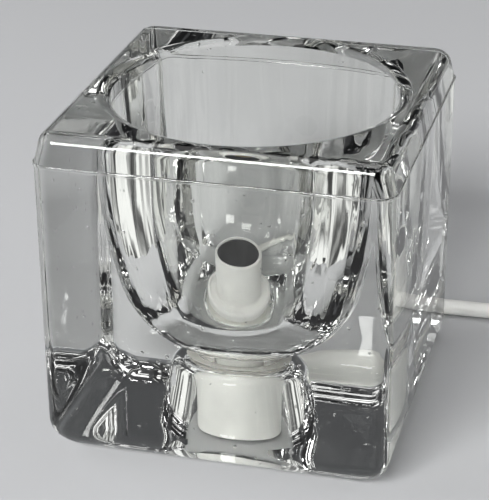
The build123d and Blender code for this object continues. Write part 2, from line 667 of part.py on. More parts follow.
cheek_offset = ROCKER_WIDTH / 2 + ROCKER_GAP + CHEEK_THICKNESS / 2
with BuildPart() as switch_cover:
    with BuildSketch(switch_plane(split_height)):
        SlotOverall(SWITCH_LENGTH, SWITCH_WIDTH)
    extrude(amount=SWITCH_HEIGHT - split_height)
    fillet(switch_cover.edges().group_by(Axis.Z)[-1], SWITCH_ROUNDING)
    with BuildSketch(switch_plane(split_height)):
        SlotOverall(inner_length, inner_width)
    extrude(amount=SWITCH_HEIGHT - SWITCH_WALL - split_height, mode=Mode.SUBTRACT)
    with BuildSketch(switch_plane(split_height)):
        with GridLocations(SWITCH_SCREW_SPACING, 0, 2, 1):
            Circle(SWITCH_BOSS_DIAMETER / 2)
    extrude(amount=SWITCH_HEIGHT - SWITCH_WALL - split_height)
    with BuildSketch(switch_plane(split_height)):
        with GridLocations(SWITCH_SCREW_SPACING, 0, 2, 1):
            Circle(screw_radius + FIT)
    extrude(amount=SWITCH_SCREW_LENGTH - split_height + SWITCH_WALL, mode=Mode.SUBTRACT)
    with BuildSketch(switch_plane(SWITCH_HEIGHT - SWITCH_WALL)):
        with GridLocations(0, 2 * cheek_offset, 1, 2):
            Rectangle(CHEEK_LENGTH, CHEEK_THICKNESS)
    extrude(amount=-PIVOT_DROP)
    with BuildSketch(switch_plane(SWITCH_HEIGHT - SWITCH_WALL)):
        Rectangle(ROCKER_LENGTH + 2 * ROCKER_GAP, ROCKER_WIDTH + 2 * ROCKER_GAP)
    extrude(amount=SWITCH_WALL, mode=Mode.SUBTRACT)
    with BuildSketch(Plane((switch_x, switch_y, pivot_height), z_dir=(0, 1, 0))):
        Circle(PIN_DIAMETER / 2 + PIN_FIT)
    extrude(amount=cheek_offset + CHEEK_THICKNESS, both=True, mode=Mode.SUBTRACT)
    for end in (-1, 1):
        with BuildSketch(channel.offset(end * (SWITCH_LENGTH / 2 - SWITCH_ENTRY))):
            Circle(cord_radius + FIT)
        extrude(amount=end * SWITCH_ENTRY, mode=Mode.SUBTRACT)
write(switch_cover, "switch_cover")

# Rocker, switched off: the end towards the plug stands up
rocker_plane = Plane(
    (switch_x, switch_y, pivot_height),
    x_dir=(math.cos(tilt), 0, math.sin(tilt)),
    z_dir=(0, -1, 0),
)
rocker_radius = ROCKER_LENGTH / 2
foot_reach = math.sqrt(rocker_radius**2 - ROCKER_DROP**2)
edge_reach = math.sqrt(rocker_radius**2 - ROCKER_EDGE**2)
with BuildPart() as switch_rocker:
    with BuildSketch(rocker_plane):
        with BuildLine():
            Line((-foot_reach, -ROCKER_DROP), (foot_reach, -ROCKER_DROP))
            ThreePointArc((foot_reach, -ROCKER_DROP), (rocker_radius, 0), (edge_reach, ROCKER_EDGE))
            Polyline((edge_reach, ROCKER_EDGE), (0, ROCKER_DIP), (-edge_reach, ROCKER_EDGE))
            ThreePointArc((-edge_reach, ROCKER_EDGE), (-rocker_radius, 0), (-foot_reach, -ROCKER_DROP))
        make_face()
        Circle(PIN_DIAMETER / 2 + PIN_FIT, mode=Mode.SUBTRACT)
    extrude(amount=ROCKER_WIDTH / 2, both=True)
write(switch_rocker, "switch_rocker")

with BuildPart() as rocker_contact:
    with BuildSketch(rocker_plane):
        with Locations(((BRIDGE_START + BRIDGE_END) / 2, -ROCKER_DROP - BRIDGE_THICKNESS / 2)):
            Rectangle(BRIDGE_END - BRIDGE_START, BRIDGE_THICKNESS)
    extrude(amount=BRIDGE_WIDTH / 2, both=True)
write(rocker_contact, "rocker_contact")

with BuildPart() as rocker_pin:
    with BuildSketch(Plane((switch_x, switch_y, pivot_height), z_dir=(0, 1, 0))):
        Circle(PIN_DIAMETER / 2)
    extrude(amount=cheek_offset + CHEEK_THICKNESS / 2, both=True)
write(rocker_pin, "rocker_pin")

bridge_depth = (ROCKER_DROP + BRIDGE_THICKNESS) * math.cos(tilt)
bridge_shift = (ROCKER_DROP + BRIDGE_THICKNESS) * math.sin(tilt)
for number, place in enumerate(POST_PLACES, start=1):
    far_edge = (place + POST_THICKNESS / 2 + bridge_shift) / math.cos(tilt)
    post_top = pivot_height - bridge_depth - min(far_edge, BRIDGE_END) * math.sin(tilt) - POST_GAP
    with BuildPart() as post:
        with BuildSketch(switch_plane(SWITCH_WALL)):
            with Locations((place, 0)):
                Rectangle(POST_THICKNESS, BRIDGE_WIDTH)
        extrude(amount=post_top - SWITCH_WALL)
    write(post, f"switch_contact_{number}")
    seat = Plane(
        (switch_x + (2 * number - 3) * SWITCH_SCREW_SPACING / 2, switch_y, SWITCH_WALL), z_dir=(0, 0, 1)
    )
    write(screw(seat, SWITCH_SCREW_LENGTH), f"switch_screw_{number}")

# Plug, lying flat with its pins towards the lamp
plug_x, plug_y, plug_z = PLUG_LEAD_POINTS[-1]
rear = Plane((plug_x, plug_y, plug_z), x_dir=(0, 0, 1), z_dir=(-1, 0, 0))
nose_x = plug_x - PLUG_LENGTH
with BuildPart() as plug_body:
    with BuildSketch(Plane((plug_x, plug_y, plug_z - PLUG_THICKNESS / 2))):
        with BuildLine():
            half = Polyline(
                (0, 0),
                (0, PLUG_REAR_WIDTH / 2),
                (PLUG_NOSE - PLUG_LENGTH, PLUG_WIDTH / 2),
                (-PLUG_LENGTH, PLUG_WIDTH / 2),
                (-PLUG_LENGTH, 0),
            )
            mirror(half, about=Plane.XZ)
        make_face()
    extrude(amount=PLUG_THICKNESS)
    fillet(plug_body.edges().filter_by(Axis.Z), PLUG_ROUNDING)
    fillet(plug_body.faces().sort_by(Axis.Z)[-1].edges(), PLUG_ROUNDING)
    fillet(plug_body.faces().sort_by(Axis.Z)[0].edges(), PLUG_ROUNDING)
    with BuildSketch(rear.offset(PLUG_LENGTH)):
        with GridLocations(0, PLUG_PIN_SPACING, 1, 2):
            Circle(PLUG_PIN_CORE_DIAMETER / 2 + FIT)
    extrude(amount=-PLUG_PIN_ROOT - FIT, mode=Mode.SUBTRACT)
write(plug_body, "plug_body")

with BuildPart() as plug_boot:
    with BuildSketch(rear):
        Circle(bush_tip_radius + BUSH_TAPER)
    with BuildSketch(rear.offset(-BOOT_LENGTH)):
        Circle(bush_tip_radius)
    loft()
    for rib in range(BOOT_RIBS):
        with BuildSketch(rear.offset(-(2 * rib + 1.5) * BOOT_RIB_WIDTH)):
            Circle(bush_tip_radius + BUSH_TAPER)
            Circle(bush_tip_radius + BUSH_WALL - BOOT_GROOVE, mode=Mode.SUBTRACT)
        extrude(amount=-BOOT_RIB_WIDTH / 2, mode=Mode.SUBTRACT)
    with BuildSketch(rear):
        Circle(bush_bore)
    extrude(amount=-BOOT_LENGTH, mode=Mode.SUBTRACT)
write(plug_boot, "plug_boot")

for number, side in enumerate((-1, 1), start=1):
    pin_y = plug_y + side * PLUG_PIN_SPACING / 2
    face = Plane((nose_x, pin_y, plug_z), z_dir=(-1, 0, 0))
    with BuildPart() as plug_pin:
        with BuildSketch(face.offset(-PLUG_PIN_ROOT)):
            Circle(PLUG_PIN_CORE_DIAMETER / 2)
        extrude(amount=PLUG_PIN_ROOT + PIN_SLEEVE_LENGTH)
        with BuildSketch(face.offset(PIN_SLEEVE_LENGTH)):
            Circle(PLUG_PIN_DIAMETER / 2)
        extrude(amount=PLUG_PIN_TIP)
        fillet(plug_pin.edges().group_by(Axis.X)[0], PLUG_PIN_DIAMETER / 4)
    write(plug_pin, f"plug_pin_{number}")
    with BuildPart() as pin_sleeve:
        with BuildSketch(face):
            Circle(PIN_SLEEVE_DIAMETER / 2)
            Circle(PLUG_PIN_CORE_DIAMETER / 2 + FIT, mode=Mode.SUBTRACT)
        extrude(amount=PIN_SLEEVE_LENGTH)
    write(pin_sleeve, f"pin_sleeve_{number}")
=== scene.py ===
import json
import math

import bmesh
import bpy
from bpy.props import FloatProperty, FloatVectorProperty, PointerProperty
from mathutils import Matrix, Vector


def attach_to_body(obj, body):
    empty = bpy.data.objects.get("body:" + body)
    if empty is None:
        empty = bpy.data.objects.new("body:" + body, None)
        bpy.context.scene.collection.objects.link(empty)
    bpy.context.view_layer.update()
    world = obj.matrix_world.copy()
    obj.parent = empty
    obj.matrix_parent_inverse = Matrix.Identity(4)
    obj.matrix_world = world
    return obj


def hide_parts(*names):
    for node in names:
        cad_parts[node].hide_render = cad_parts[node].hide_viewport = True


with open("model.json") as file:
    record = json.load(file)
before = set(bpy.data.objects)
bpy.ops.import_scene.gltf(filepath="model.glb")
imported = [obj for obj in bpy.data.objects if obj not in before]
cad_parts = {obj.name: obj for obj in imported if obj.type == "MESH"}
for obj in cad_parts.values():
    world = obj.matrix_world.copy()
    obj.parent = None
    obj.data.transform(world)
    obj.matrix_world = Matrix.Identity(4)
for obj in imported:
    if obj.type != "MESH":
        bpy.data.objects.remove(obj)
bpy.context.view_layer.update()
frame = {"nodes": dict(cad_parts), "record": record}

bl_info = {
    "name": "Cube Table Lamp",
    "version": (1, 0, 0),
    "blender": (4, 5, 0),
    "location": "View3D > Sidebar > Cube Lamp",
    "description": "Dresses the packed model of a pressed-glass cube lamp with its lead, switch and plug",
    "category": "Object",
}

# Routes of the lead, in metres, as in the part's source
LEAD_ROUTE = [
    (0, 0.040, 0.007),
    (0, 0.0555, 0.007),
    (0.0059, 0.0698, 0.0054),
    (0.0169, 0.0808, 0.0041),
    (0.031, 0.0872, 0.0035),
    (0.0485, 0.0903, 0.0035),
    (0.0704, 0.0913, 0.0035),
    (0.0885, 0.0914, 0.0035),
    (0.104, 0.0914, 0.006),
    (0.119, 0.0914, 0.006),
]
TAIL_ROUTE = [
    (0.169, 0.0914, 0.006),
    (0.1915, 0.0914, 0.006),
    (0.213, 0.083, 0.0052),
    (0.2305, 0.0665, 0.0048),
    (0.238, 0.047, 0.0048),
    (0.238, 0.030, 0.0048),
]
PLUG_ROUTE = [
    (0.238, 0.016, 0.0123),
    (0.238, 0.004, 0.0123),
    (0.2375, -0.010, 0.0086),
    (0.2335, -0.0235, 0.0052),
    (0.225, -0.035, 0.0036),
    (0.2125, -0.0435, 0.0037),
    (0.197, -0.0475, 0.00685),
    (0.1665, -0.0475, 0.00685),
]
COIL_CENTRE = (0.189, 0.023)
COIL_RADIUS = 0.049
COIL_PITCH = 0.0075
COIL_RISE = 0.0075
COIL_LAY = 0.0048
COIL_TURNS = 6
COIL_CLIMB = 0.5
COIL_STEPS = 24

# Colours that several pieces share
SHEATH_WHITE = (0.81, 0.805, 0.78)
HOLDER_WHITE = (0.9, 0.895, 0.87)
BRASS = (0.78, 0.60, 0.30)
NICKEL = (0.74, 0.72, 0.68)


# Shader maths

class Shade:
    """One output of a material's nodes; arithmetic on it adds Math nodes."""

    def __init__(self, finish, socket):
        self.finish = finish
        self.socket = socket

    def maths(self, operation, first, second):
        return self.finish.node("ShaderNodeMath", {"operation": operation}, {0: first, 1: second})

    def __add__(self, other):
        return self.maths("ADD", self, other)

    def __radd__(self, other):
        return self.maths("ADD", other, self)

    def __sub__(self, other):
        return self.maths("SUBTRACT", self, other)

    def __rsub__(self, other):
        return self.maths("SUBTRACT", other, self)

    def __mul__(self, other):
        return self.maths("MULTIPLY", self, other)

    def __rmul__(self, other):
        return self.maths("MULTIPLY", other, self)

    def __truediv__(self, other):
        return self.maths("DIVIDE", self, other)

    def __rtruediv__(self, other):
        return self.maths("DIVIDE", other, self)


class Finish:
    """A node tree under construction: a material's or the world's."""

    def __init__(self, tree):
        self.tree = tree
        self.tree.nodes.clear()

    def node(self, kind, settings=None, inputs=None, out=0):
        """Adds a node, its settings first and then its sockets, and gives one of its outputs."""
        node = self.tree.nodes.new(kind)
        for name, value in (settings or {}).items():
            if name == "stops":
                ramp = node.color_ramp
                while len(ramp.elements) < len(value):
                    ramp.elements.new(1.0)
                for element, (place, colour) in zip(ramp.elements, value):
                    element.position = place
                    element.color = colour
            else:
                setattr(node, name, value)
        for name, value in (inputs or {}).items():
            if isinstance(value, Shade):
                self.tree.links.new(value.socket, node.inputs[name])
            else:
                node.inputs[name].default_value = value
        return Shade(self, node.outputs[out]) if node.outputs else node

    def place(self, scale=(1, 1, 1)):
        """The piece's own coordinates, stretched."""
        spot = self.node("ShaderNodeTexCoord", out="Object")
        return self.node("ShaderNodeMapping", None, {"Vector": spot, "Scale": scale})

    def axes(self, spot):
        """The three parts of a place."""
        across = self.node("ShaderNodeSeparateXYZ", None, {"Vector": spot})
        return [Shade(self, socket) for socket in across.socket.node.outputs]

    def noise(self, spot, scale, detail=3.0, roughness=0.5):
        """Cloudy variation from 0 to 1."""
        return self.node(
            "ShaderNodeTexNoise",
            None,
            {"Vector": spot, "Scale": scale, "Detail": detail, "Roughness": roughness},
        )

    def fade(self, value, low, high, bottom=0.0, top=1.0):
        """Follows a value between two limits, and stays level outside them."""
        return self.node(
            "ShaderNodeMapRange",
            {"interpolation_type": "SMOOTHSTEP"},
            {"Value": value, "From Min": low, "From Max": high, "To Min": bottom, "To Max": top},
        )

    def blend(self, share, first, second):
        """A colour between two colours."""
        return self.node(
            "ShaderNodeMix",
            {"data_type": "RGBA"},
            {"Factor": share, 6: first, 7: second},
            out=2,
        )

    def bump(self, height, distance):
        """A normal that follows a height, given in parts of a distance."""
        inputs = {"Height": height, "Distance": distance, "Strength": 1.0}
        return self.node("ShaderNodeBump", None, inputs)


def new_finish(name):
    """A material with an empty node tree."""
    material = bpy.data.materials.new(name)
    material.use_nodes = True
    return material, Finish(material.node_tree)


def surface(finish, inputs):
    """Ends a material in a Principled shader."""
    shader = finish.node("ShaderNodeBsdfPrincipled", None, inputs)
    finish.node("ShaderNodeOutputMaterial", None, {"Surface": shader})


def colour4(colour):
    """A colour with its alpha."""
    return (colour[0], colour[1], colour[2], 1.0)


def shade_of(colour, factor):
    """A lighter or darker shade of a colour, with its alpha."""
    return tuple(min(part * factor, 1.0) for part in colour[:3]) + (1.0,)


def glass_finish(settings):
    """Clear pressed glass: faint waves from the mould and a slight green-grey tint."""
    material, finish = new_finish("clear pressed glass")
    spot = finish.place()
    swell = finish.noise(spot, 26.0, 1.0, 0.4)
    ripple = finish.noise(spot, 90.0, 2.0, 0.5)
    cell = finish.node("ShaderNodeTexVoronoi", None, {"Vector": spot, "Scale": 120.0}, out="Distance")
    seeds = finish.fade(cell, settings.seed, settings.seed * 2.2, 1.0, 0.0)
    across, along, up = finish.axes(spot)
    reach = across * across + along * along
    inside = finish.fade(reach, 0.0585**2, 0.0605**2, 1.0, 0.0)
    wall = inside * finish.fade(up, 0.041, 0.052)
    sides = wall * (across * across / (reach + 1e-6))
    streaks = finish.noise(finish.place((1.0, 1.0, 0.3)), 190.0, 2.0, 0.45)
    height = swell + ripple * 0.25 + seeds * 1.6 + streaks * sides * settings.streak
    surface(
        finish,
        {
            "Base Color": colour4(settings.colour),
            "Roughness": 0.0,
            "IOR": settings.ior,
            "Transmission Weight": 1.0,
            "Normal": finish.bump(height, settings.wave),
        },
    )
    return material


def moulded_finish(name, colour, roughness=0.35, grain=900.0, depth=0.00002):
    """Moulded plastic: a fine skin, faint clouding and a little gloss."""
    material, finish = new_finish(name)
    spot = finish.place()
    cloud = finish.noise(spot, 60.0, 3.0)
    skin = finish.noise(spot, grain, 2.0)
    surface(
        finish,
        {
            "Base Color": finish.blend(
                finish.fade(cloud, 0.3, 0.7), shade_of(colour, 0.94), shade_of(colour, 1.03)
            ),
            "Roughness": finish.fade(cloud + skin * 0.3, 0.4, 0.9, roughness - 0.06, roughness + 0.08),
            "IOR": 1.48,
            "Normal": finish.bump(skin, depth),
        },
    )
    return material


def metal_finish(name, colour, roughness=0.28):
    """Plated or bare metal with a brushed skin and some tarnish."""
    material, finish = new_finish(name)
    spot = finish.place()
    tarnish = finish.noise(spot, 220.0, 4.0, 0.6)
    brush = finish.noise(finish.place((400.0, 400.0, 4000.0)), 1.0, 2.0)
    dull = finish.fade(tarnish, 0.45, 0.75)
    surface(
        finish,
        {
            "Base Color": finish.blend(dull, colour4(colour), shade_of(colour, 0.62)),
            "Metallic": 1.0,
            "Roughness": roughness + dull * 0.16 + brush * 0.08,
            "Normal": finish.bump(brush, 0.00001),
        },
    )
    return material


# Meshes

def crease(bm, sharp=40.0):
    """Marks the edges that turn by more than an angle, in degrees."""
    for edge in bm.edges:
        if len(edge.link_faces) == 2 and edge.calc_face_angle() > math.radians(sharp):
            edge.smooth = False


def finish_mesh(bm, name, material, sharp=40.0):
    """Turns a bmesh into an object with smooth faces and creases at its sharp edges."""
    for face in bm.faces:
        face.smooth = True
    crease(bm, sharp)
    mesh = bpy.data.meshes.new(name)
    bm.to_mesh(mesh)
    bm.free()
    piece = bpy.data.objects.new(name, mesh)
    bpy.context.scene.collection.objects.link(piece)
    piece.data.materials.append(material)
    return piece


def soften(corners, steps=5):
    """Points of a closed outline whose corners (across, up, rounding) are rounded, in metres."""
    points = []
    for number, (across, up, rounding) in enumerate(corners):
        corner = Vector((across, up))
        if not rounding:
            points.append(corner)
            continue
        before = Vector(corners[number - 1][:2]) - corner
        after = Vector(corners[(number + 1) % len(corners)][:2]) - corner
        half = before.angle(after) / 2
        reach = rounding / math.tan(half)
        start = corner + before.normalized() * reach
        bend, _ = arc_to(start, -before.normalized(), corner + after.normalized() * reach, steps)
        points += [start, *bend]
    return points


def turned(points, sides=96):
    """A body turned around the Z axis from its closed outline of (radius, height)."""
    bm = bmesh.new()
    verts = [bm.verts.new((point[0], 0, point[1])) for point in points]
    edges = [bm.edges.new((vert, verts[number - 1])) for number, vert in enumerate(verts)]
    bmesh.ops.spin(
        bm,
        geom=verts + edges,
        cent=(0, 0, 0),
        axis=(0, 0, 1),
        angle=2 * math.pi,
        steps=sides,
        use_merge=True,
    )
    bmesh.ops.remove_doubles(bm, verts=bm.verts, dist=1e-7)
    bmesh.ops.recalc_face_normals(bm, faces=bm.faces)
    return bm


def woven(rows, closed=True):
    """A skin through rings of points. A closed one also runs from the last ring to the first."""
    around = len(rows[0])
    steps = len(rows) if closed else len(rows) - 1
    bm = bmesh.new()
    bmesh.ops.create_grid(bm, x_segments=around, y_segments=steps, size=0.5)
    for vert in bm.verts:
        column = round((vert.co.x + 0.5) * around) % around
        row = round((vert.co.y + 0.5) * steps) % len(rows)
        vert.co = rows[row][column]
    bmesh.ops.remove_doubles(bm, verts=bm.verts, dist=1e-7)
    bmesh.ops.recalc_face_normals(bm, faces=bm.faces)
    return bm


def bend(first, last, steps):
    """Inset and rise along a quarter round, from its upright end to its flat end, as shares of it."""
    turns = [first + (last - first) * step / steps for step in range(steps + 1)]
    return [(1 - math.cos(turn), math.sin(turn)) for turn in turns]


def stretch(bm, faces, depth):
    """Draws flat faces out along Y into a solid."""
    grown = bmesh.ops.extrude_face_region(bm, geom=faces)
    moved = [item for item in grown["geom"] if isinstance(item, bmesh.types.BMVert)]
    bmesh.ops.translate(bm, verts=moved, vec=(0, depth, 0))


def attach(piece, node, body="lamp"):
    """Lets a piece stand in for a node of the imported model."""
    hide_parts(node)
    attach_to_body(piece, body)


def millimetres(corners):
    """Corners of an outline given in millimetres, with a rounding or none."""
    return [tuple(part / 1000 for part in (*corner, 0.0)[:3]) for corner in corners]


def arc_to(start, heading, end, steps):
    """Points of the arc that leaves start along heading and reaches end, and its heading there."""
    chord = end - start
    normal = Vector((-heading.y, heading.x))
    radius = chord.length_squared / (2 * normal.dot(chord))
    centre = start + normal * radius
    sweep = 2 * heading.angle_signed(chord)
    points = []
    for step in range(1, steps + 1):
        turn = Matrix.Rotation(-sweep * step / steps, 2)
        points.append(centre + turn @ (start - centre))
    return points, Matrix.Rotation(-sweep, 2) @ heading


# Sizes and colours

def length_setting(name, description, default):
    """A setting that is a length."""
    return FloatProperty(name=name, description=description, default=default, unit="LENGTH")


def colour_setting(name, description, default):
    """A setting that is a colour."""
    return FloatVectorProperty(name=name, description=description, default=default, subtype="COLOR")


class GlassBlockSettings(bpy.types.PropertyGroup):
    """Sizes and colour of the glass block."""

    width: length_setting("Width", "Across the seam", 0.140)
    height: length_setting("Height", "Table to top", 0.1375)
    base_draft: length_setting("Base draft", "Lean of each side below the seam", 0.0004)
    top_draft: length_setting("Top draft", "Lean of each side above the seam", 0.0026)
    seam_drop: length_setting("Seam", "Mould seam below the top", 0.0125)
    corner: length_setting("Uprights", "Rounding of the upright edges", 0.0072)
    top_rounding: length_setting("Top edge", "Rounding of the top edges", 0.0059)
    base_rounding: length_setting("Base edge", "Rounding of the base edges", 0.0143)
    bowl_radius: length_setting("Bowl", "Radius of the bowl under its lip", 0.0575)
    lip: length_setting("Lip", "Width of the bowl's lip", 0.0056)
    lip_rise: length_setting("Lip height", "Height of the bowl's lip", 0.0024)
    lip_slant: FloatProperty(
        name="Lip slant", description="Slant of the lip, 0 is round", default=0.55, subtype="FACTOR"
    )
    hollow_rounding: length_setting("Hollow", "Rounding inside the top of the hollow", 0.007)
    colour: colour_setting("Tint", "Tint of the glass", (0.98, 0.99, 0.964))
    ior: FloatProperty(name="IOR", description="Refractive index", default=1.5)
    wave: length_setting("Wave", "Depth of the waves in the surface", 0.0001)
    plunger_wave: length_setting("Bowl wave", "Depth of the bowl's waves", 0.00011)
    streak: FloatProperty(
        name="Streaks", description="Depth of the bowl's streaks, as a share of the wave", default=0.9
    )
    seed: FloatProperty(
        name="Seeds", description="Size of the specks, as a share of their spacing", default=0.045
    )


class LeadSettings(bpy.types.PropertyGroup):
    """Sizes and colour of the mains lead."""

    diameter: length_setting("Diameter", "Of the sheath", 0.007)
    colour: colour_setting("Sheath", "Colour of the sheath", SHEATH_WHITE)


class HolderSettings(bpy.types.PropertyGroup):
    """Colours and thread of the lamp holder."""

    white: colour_setting("White", "Colour of the sleeve and ring", HOLDER_WHITE)
    dark: colour_setting("Liner", "Colour of the liner", (0.012, 0.011, 0.010))
    rubber: colour_setting("Washers", "Colour of the washers", (0.9, 0.885, 0.845))
    brass: colour_setting("Brass", "Colour of the shell and contact", BRASS)
    shell_wall: length_setting("Shell wall", "Thickness of the screw shell", 0.0004)
    thread_pitch: length_setting("Thread pitch", "Height of one turn", 0.00282)
    thread_depth: length_setting("Thread depth", "Depth of the rolled thread", 0.00055)


class SwitchSettings(bpy.types.PropertyGroup):
    """Colour and edges of the cord switch."""

    white: colour_setting("White", "Colour of the lid and rocker", SHEATH_WHITE)
    edge: length_setting("Edge", "Rounding around the lid's top", 0.003)
    rim: length_setting("Rim", "Rounding at the seam and the window", 0.0004)
    rocker_edge: length_setting("Rocker edge", "Rounding of the rocker's sides", 0.0004)


class PlugSettings(bpy.types.PropertyGroup):
    """Colours and edges of the plug."""

    white: colour_setting("White", "Colour of the body and boot", SHEATH_WHITE)
    dark: colour_setting("Sleeves", "Colour of the sleeves", (0.03, 0.03, 0.03))
    nickel: colour_setting("Pins", "Colour of the plated pins", NICKEL)
    edge: length_setting("Edge", "Rounding of the body", 0.0025)
    groove: length_setting("Seam", "Depth of the seam around the body", 0.00025)


class StageSettings(bpy.types.PropertyGroup):
    """Floor and light."""

    floor_colour: colour_setting("Floor", "Colour of the floor", (0.50, 0.505, 0.515))
    key: FloatProperty(name="Key", description="Power of the main lamp", default=425.0, unit="POWER")
    # The colour the side cards glow with: painted reflections that show only through the glass
    card: colour_setting("Cards", "Colour of the side cards", (0.98, 0.99, 0.97))
    sky: FloatProperty(name="Sky", description="Strength of the light all round", default=0.55)


# Operators

class CUBELAMP_OT_stage(bpy.types.Operator):
    """Sets up the camera, the floor and the light"""

    bl_idname = "cube_lamp.stage"
    bl_label = "Stage"

    # The camera: its focal length and the longer side of its frame in pixels, its place and its axes
    FOCAL = 1905.165
    LONG_SIDE = 500.0
    EYE = (0.18010890, -0.68637316, 0.40145042)
    RIGHT = (0.96637842, 0.25703314, -0.00683427)
    UP = (-0.10378276, 0.41423913, 0.90423176)
    BACK = (0.23524856, -0.87312078, 0.42698737)

    # The lamps: name, place, size and share of the main lamp's power
    AIM = Vector((0.0, 0.0, 0.06))
    LAMPS = (
        ("key", (-1.05, -4.7, 3.2), (3.2, 1.6), 1.0),
        ("left", (-1.4, -0.1, 0.75), (1.1, 1.1), 0.0205),
        ("right", (1.4, 0.1, 0.75), (1.1, 1.1), 0.012),
        ("above", (0.0, 0.1, 1.9), (1.2, 1.2), 0.0145),
    )

    # The cards: half their height and length, and the place of their middle
    CARD_HALF = (0.055, 0.11, 1.0)
    CARD_SPOT = (0.128, -0.01, 0.056)

    FLOOR_HALF = 6.0
    FLOOR_DROP = 0.0004
    FLOOR_FADE = (0.5, 1.6)

    def execute(self, context):
        settings = context.scene.lamp_stage
        context.scene.view_settings.view_transform = "Standard"
        self.camera(context.scene)
        self.floor(settings)
        self.cards(settings)
        self.lights(settings)
        self.world(settings)
        return {"FINISHED"}

    def camera(self, scene):
        """A camera that stands where the picture was taken."""
        lens = bpy.data.cameras.new("camera")
        lens.sensor_width = 36.0
        lens.lens = self.FOCAL * lens.sensor_width / self.LONG_SIDE
        lens.clip_start = 0.01
        lens.clip_end = 50.0
        camera = bpy.data.objects.new("camera", lens)
        turn = Matrix((self.RIGHT, self.UP, self.BACK)).transposed()
        camera.matrix_world = Matrix.Translation(self.EYE) @ turn.to_4x4()
        scene.collection.objects.link(camera)
        scene.camera = camera

    def floor(self, settings):
        """A painted floor that fades to one plain tone far from the lamp."""
        bm = bmesh.new()
        bmesh.ops.create_grid(bm, x_segments=8, y_segments=8, size=self.FLOOR_HALF)
        material, finish = new_finish("floor")
        spot = finish.place()
        tone = finish.noise(spot, 1.5, 3.0)
        painted = finish.node(
            "ShaderNodeBsdfPrincipled",
            None,
            {
                "Base Color": finish.blend(
                    finish.fade(tone, 0.3, 0.7),
                    shade_of(settings.floor_colour, 0.98),
                    shade_of(settings.floor_colour, 1.02),
                ),
                "Roughness": 0.9,
                "Specular IOR Level": 0.2,
            },
        )
        plain = finish.node("ShaderNodeEmission", None, {"Color": colour4(settings.floor_colour)})
        away = finish.node("ShaderNodeVectorMath", {"operation": "LENGTH"}, {0: spot}, out="Value")
        seen = finish.node("ShaderNodeLightPath", out="Is Camera Ray")
        through = finish.node("ShaderNodeLightPath", out="Is Transmission Ray")
        far = finish.fade(away, *self.FLOOR_FADE) * (seen + through)
        shader = finish.node("ShaderNodeMixShader", None, {0: far, 1: painted, 2: plain})
        finish.node("ShaderNodeOutputMaterial", None, {"Surface": shader})
        bmesh.ops.translate(bm, verts=bm.verts, vec=(0, 0, -self.FLOOR_DROP))
        floor = finish_mesh(bm, "floor", material)

    def cards(self, settings):
        """A pale glowing pleated card at each side of the block, which shows only through the glass. It
        is no lamp and lights nothing: its glow paints bright streaks and reflections into the glass.
        """
        material, finish = new_finish("glowing pleated card")
        across, along, height = finish.axes(finish.place())
        spot = finish.node(
            "ShaderNodeCombineXYZ", None, {"X": across, "Y": along, "Z": height * 0.12}, out="Vector"
        )
        # Bright and dim bands of glow across the card: painted streaks of light in the glass
        glow_bands = finish.fade(finish.noise(spot, 76.0, 1.0), 0.36, 0.64)
        glow = finish.blend(glow_bands, shade_of(settings.card, 0.06), colour4(settings.card))
        surface(
            finish,
            {
                "Base Color": (0.0, 0.0, 0.0, 1.0),
                "Specular IOR Level": 0.0,
                "Emission Color": glow,
                "Emission Strength": 1.0,
            },
        )
        away, along, up = self.CARD_SPOT
        for name, side in (("left glowing card", -away), ("right glowing card", away)):
            bm = bmesh.new()
            bmesh.ops.create_grid(bm, x_segments=2, y_segments=4, size=1.0)
            bmesh.ops.scale(bm, verts=bm.verts, vec=self.CARD_HALF)
            bmesh.ops.rotate(bm, verts=bm.verts, matrix=Matrix.Rotation(math.radians(90), 3, "Y"))
            bmesh.ops.translate(bm, verts=bm.verts, vec=(side, along, up))
            card = finish_mesh(bm, name, material)
            # The cards are seen only by rays through the glass, where their glow is painted reflection
            card.visible_camera = False
            card.visible_diffuse = False
            card.visible_glossy = False
            card.visible_shadow = False

    def lights(self, settings):
        """Flat lamps that all face the middle of the block."""
        for name, spot, size, share in self.LAMPS:
            lamp = bpy.data.lights.new(name, "AREA")
            lamp.shape = "RECTANGLE"
            lamp.size, lamp.size_y = size
            lamp.energy = settings.key * share
            light = bpy.data.objects.new(name, lamp)
            turn = (Vector(spot) - self.AIM).to_track_quat("Z", "Y").to_matrix()
            light.matrix_world = Matrix.Translation(spot) @ turn.to_4x4()
            bpy.context.scene.collection.objects.link(light)

    def world(self, settings):
        """Faint light all round, with the floor's tone as the background."""
        world = bpy.data.worlds.new("studio")
        world.use_nodes = True
        bpy.context.scene.world = world
        finish = Finish(world.node_tree)
        heading = finish.node("ShaderNodeTexCoord", out="Generated")
        height = finish.node("ShaderNodeSeparateXYZ", None, {"Vector": heading}, out="Z")
        tone = finish.node(
            "ShaderNodeValToRGB",
            {
                "stops": [
                    (0.0, (0.30, 0.31, 0.33, 1.0)),
                    (0.25, (0.10, 0.105, 0.11, 1.0)),
                    (1.0, (0.06, 0.06, 0.065, 1.0)),
                ]
            },
            {"Fac": height},
        )
        seen = finish.node("ShaderNodeLightPath", out="Is Camera Ray")
        light = finish.node(
            "ShaderNodeBackground",
            None,
            {
                "Color": finish.blend(seen, tone, colour4(settings.floor_colour)),
                "Strength": seen * (1 - settings.sky) + settings.sky,
            },
        )
        finish.node("ShaderNodeOutputWorld", None, {"Surface": light})


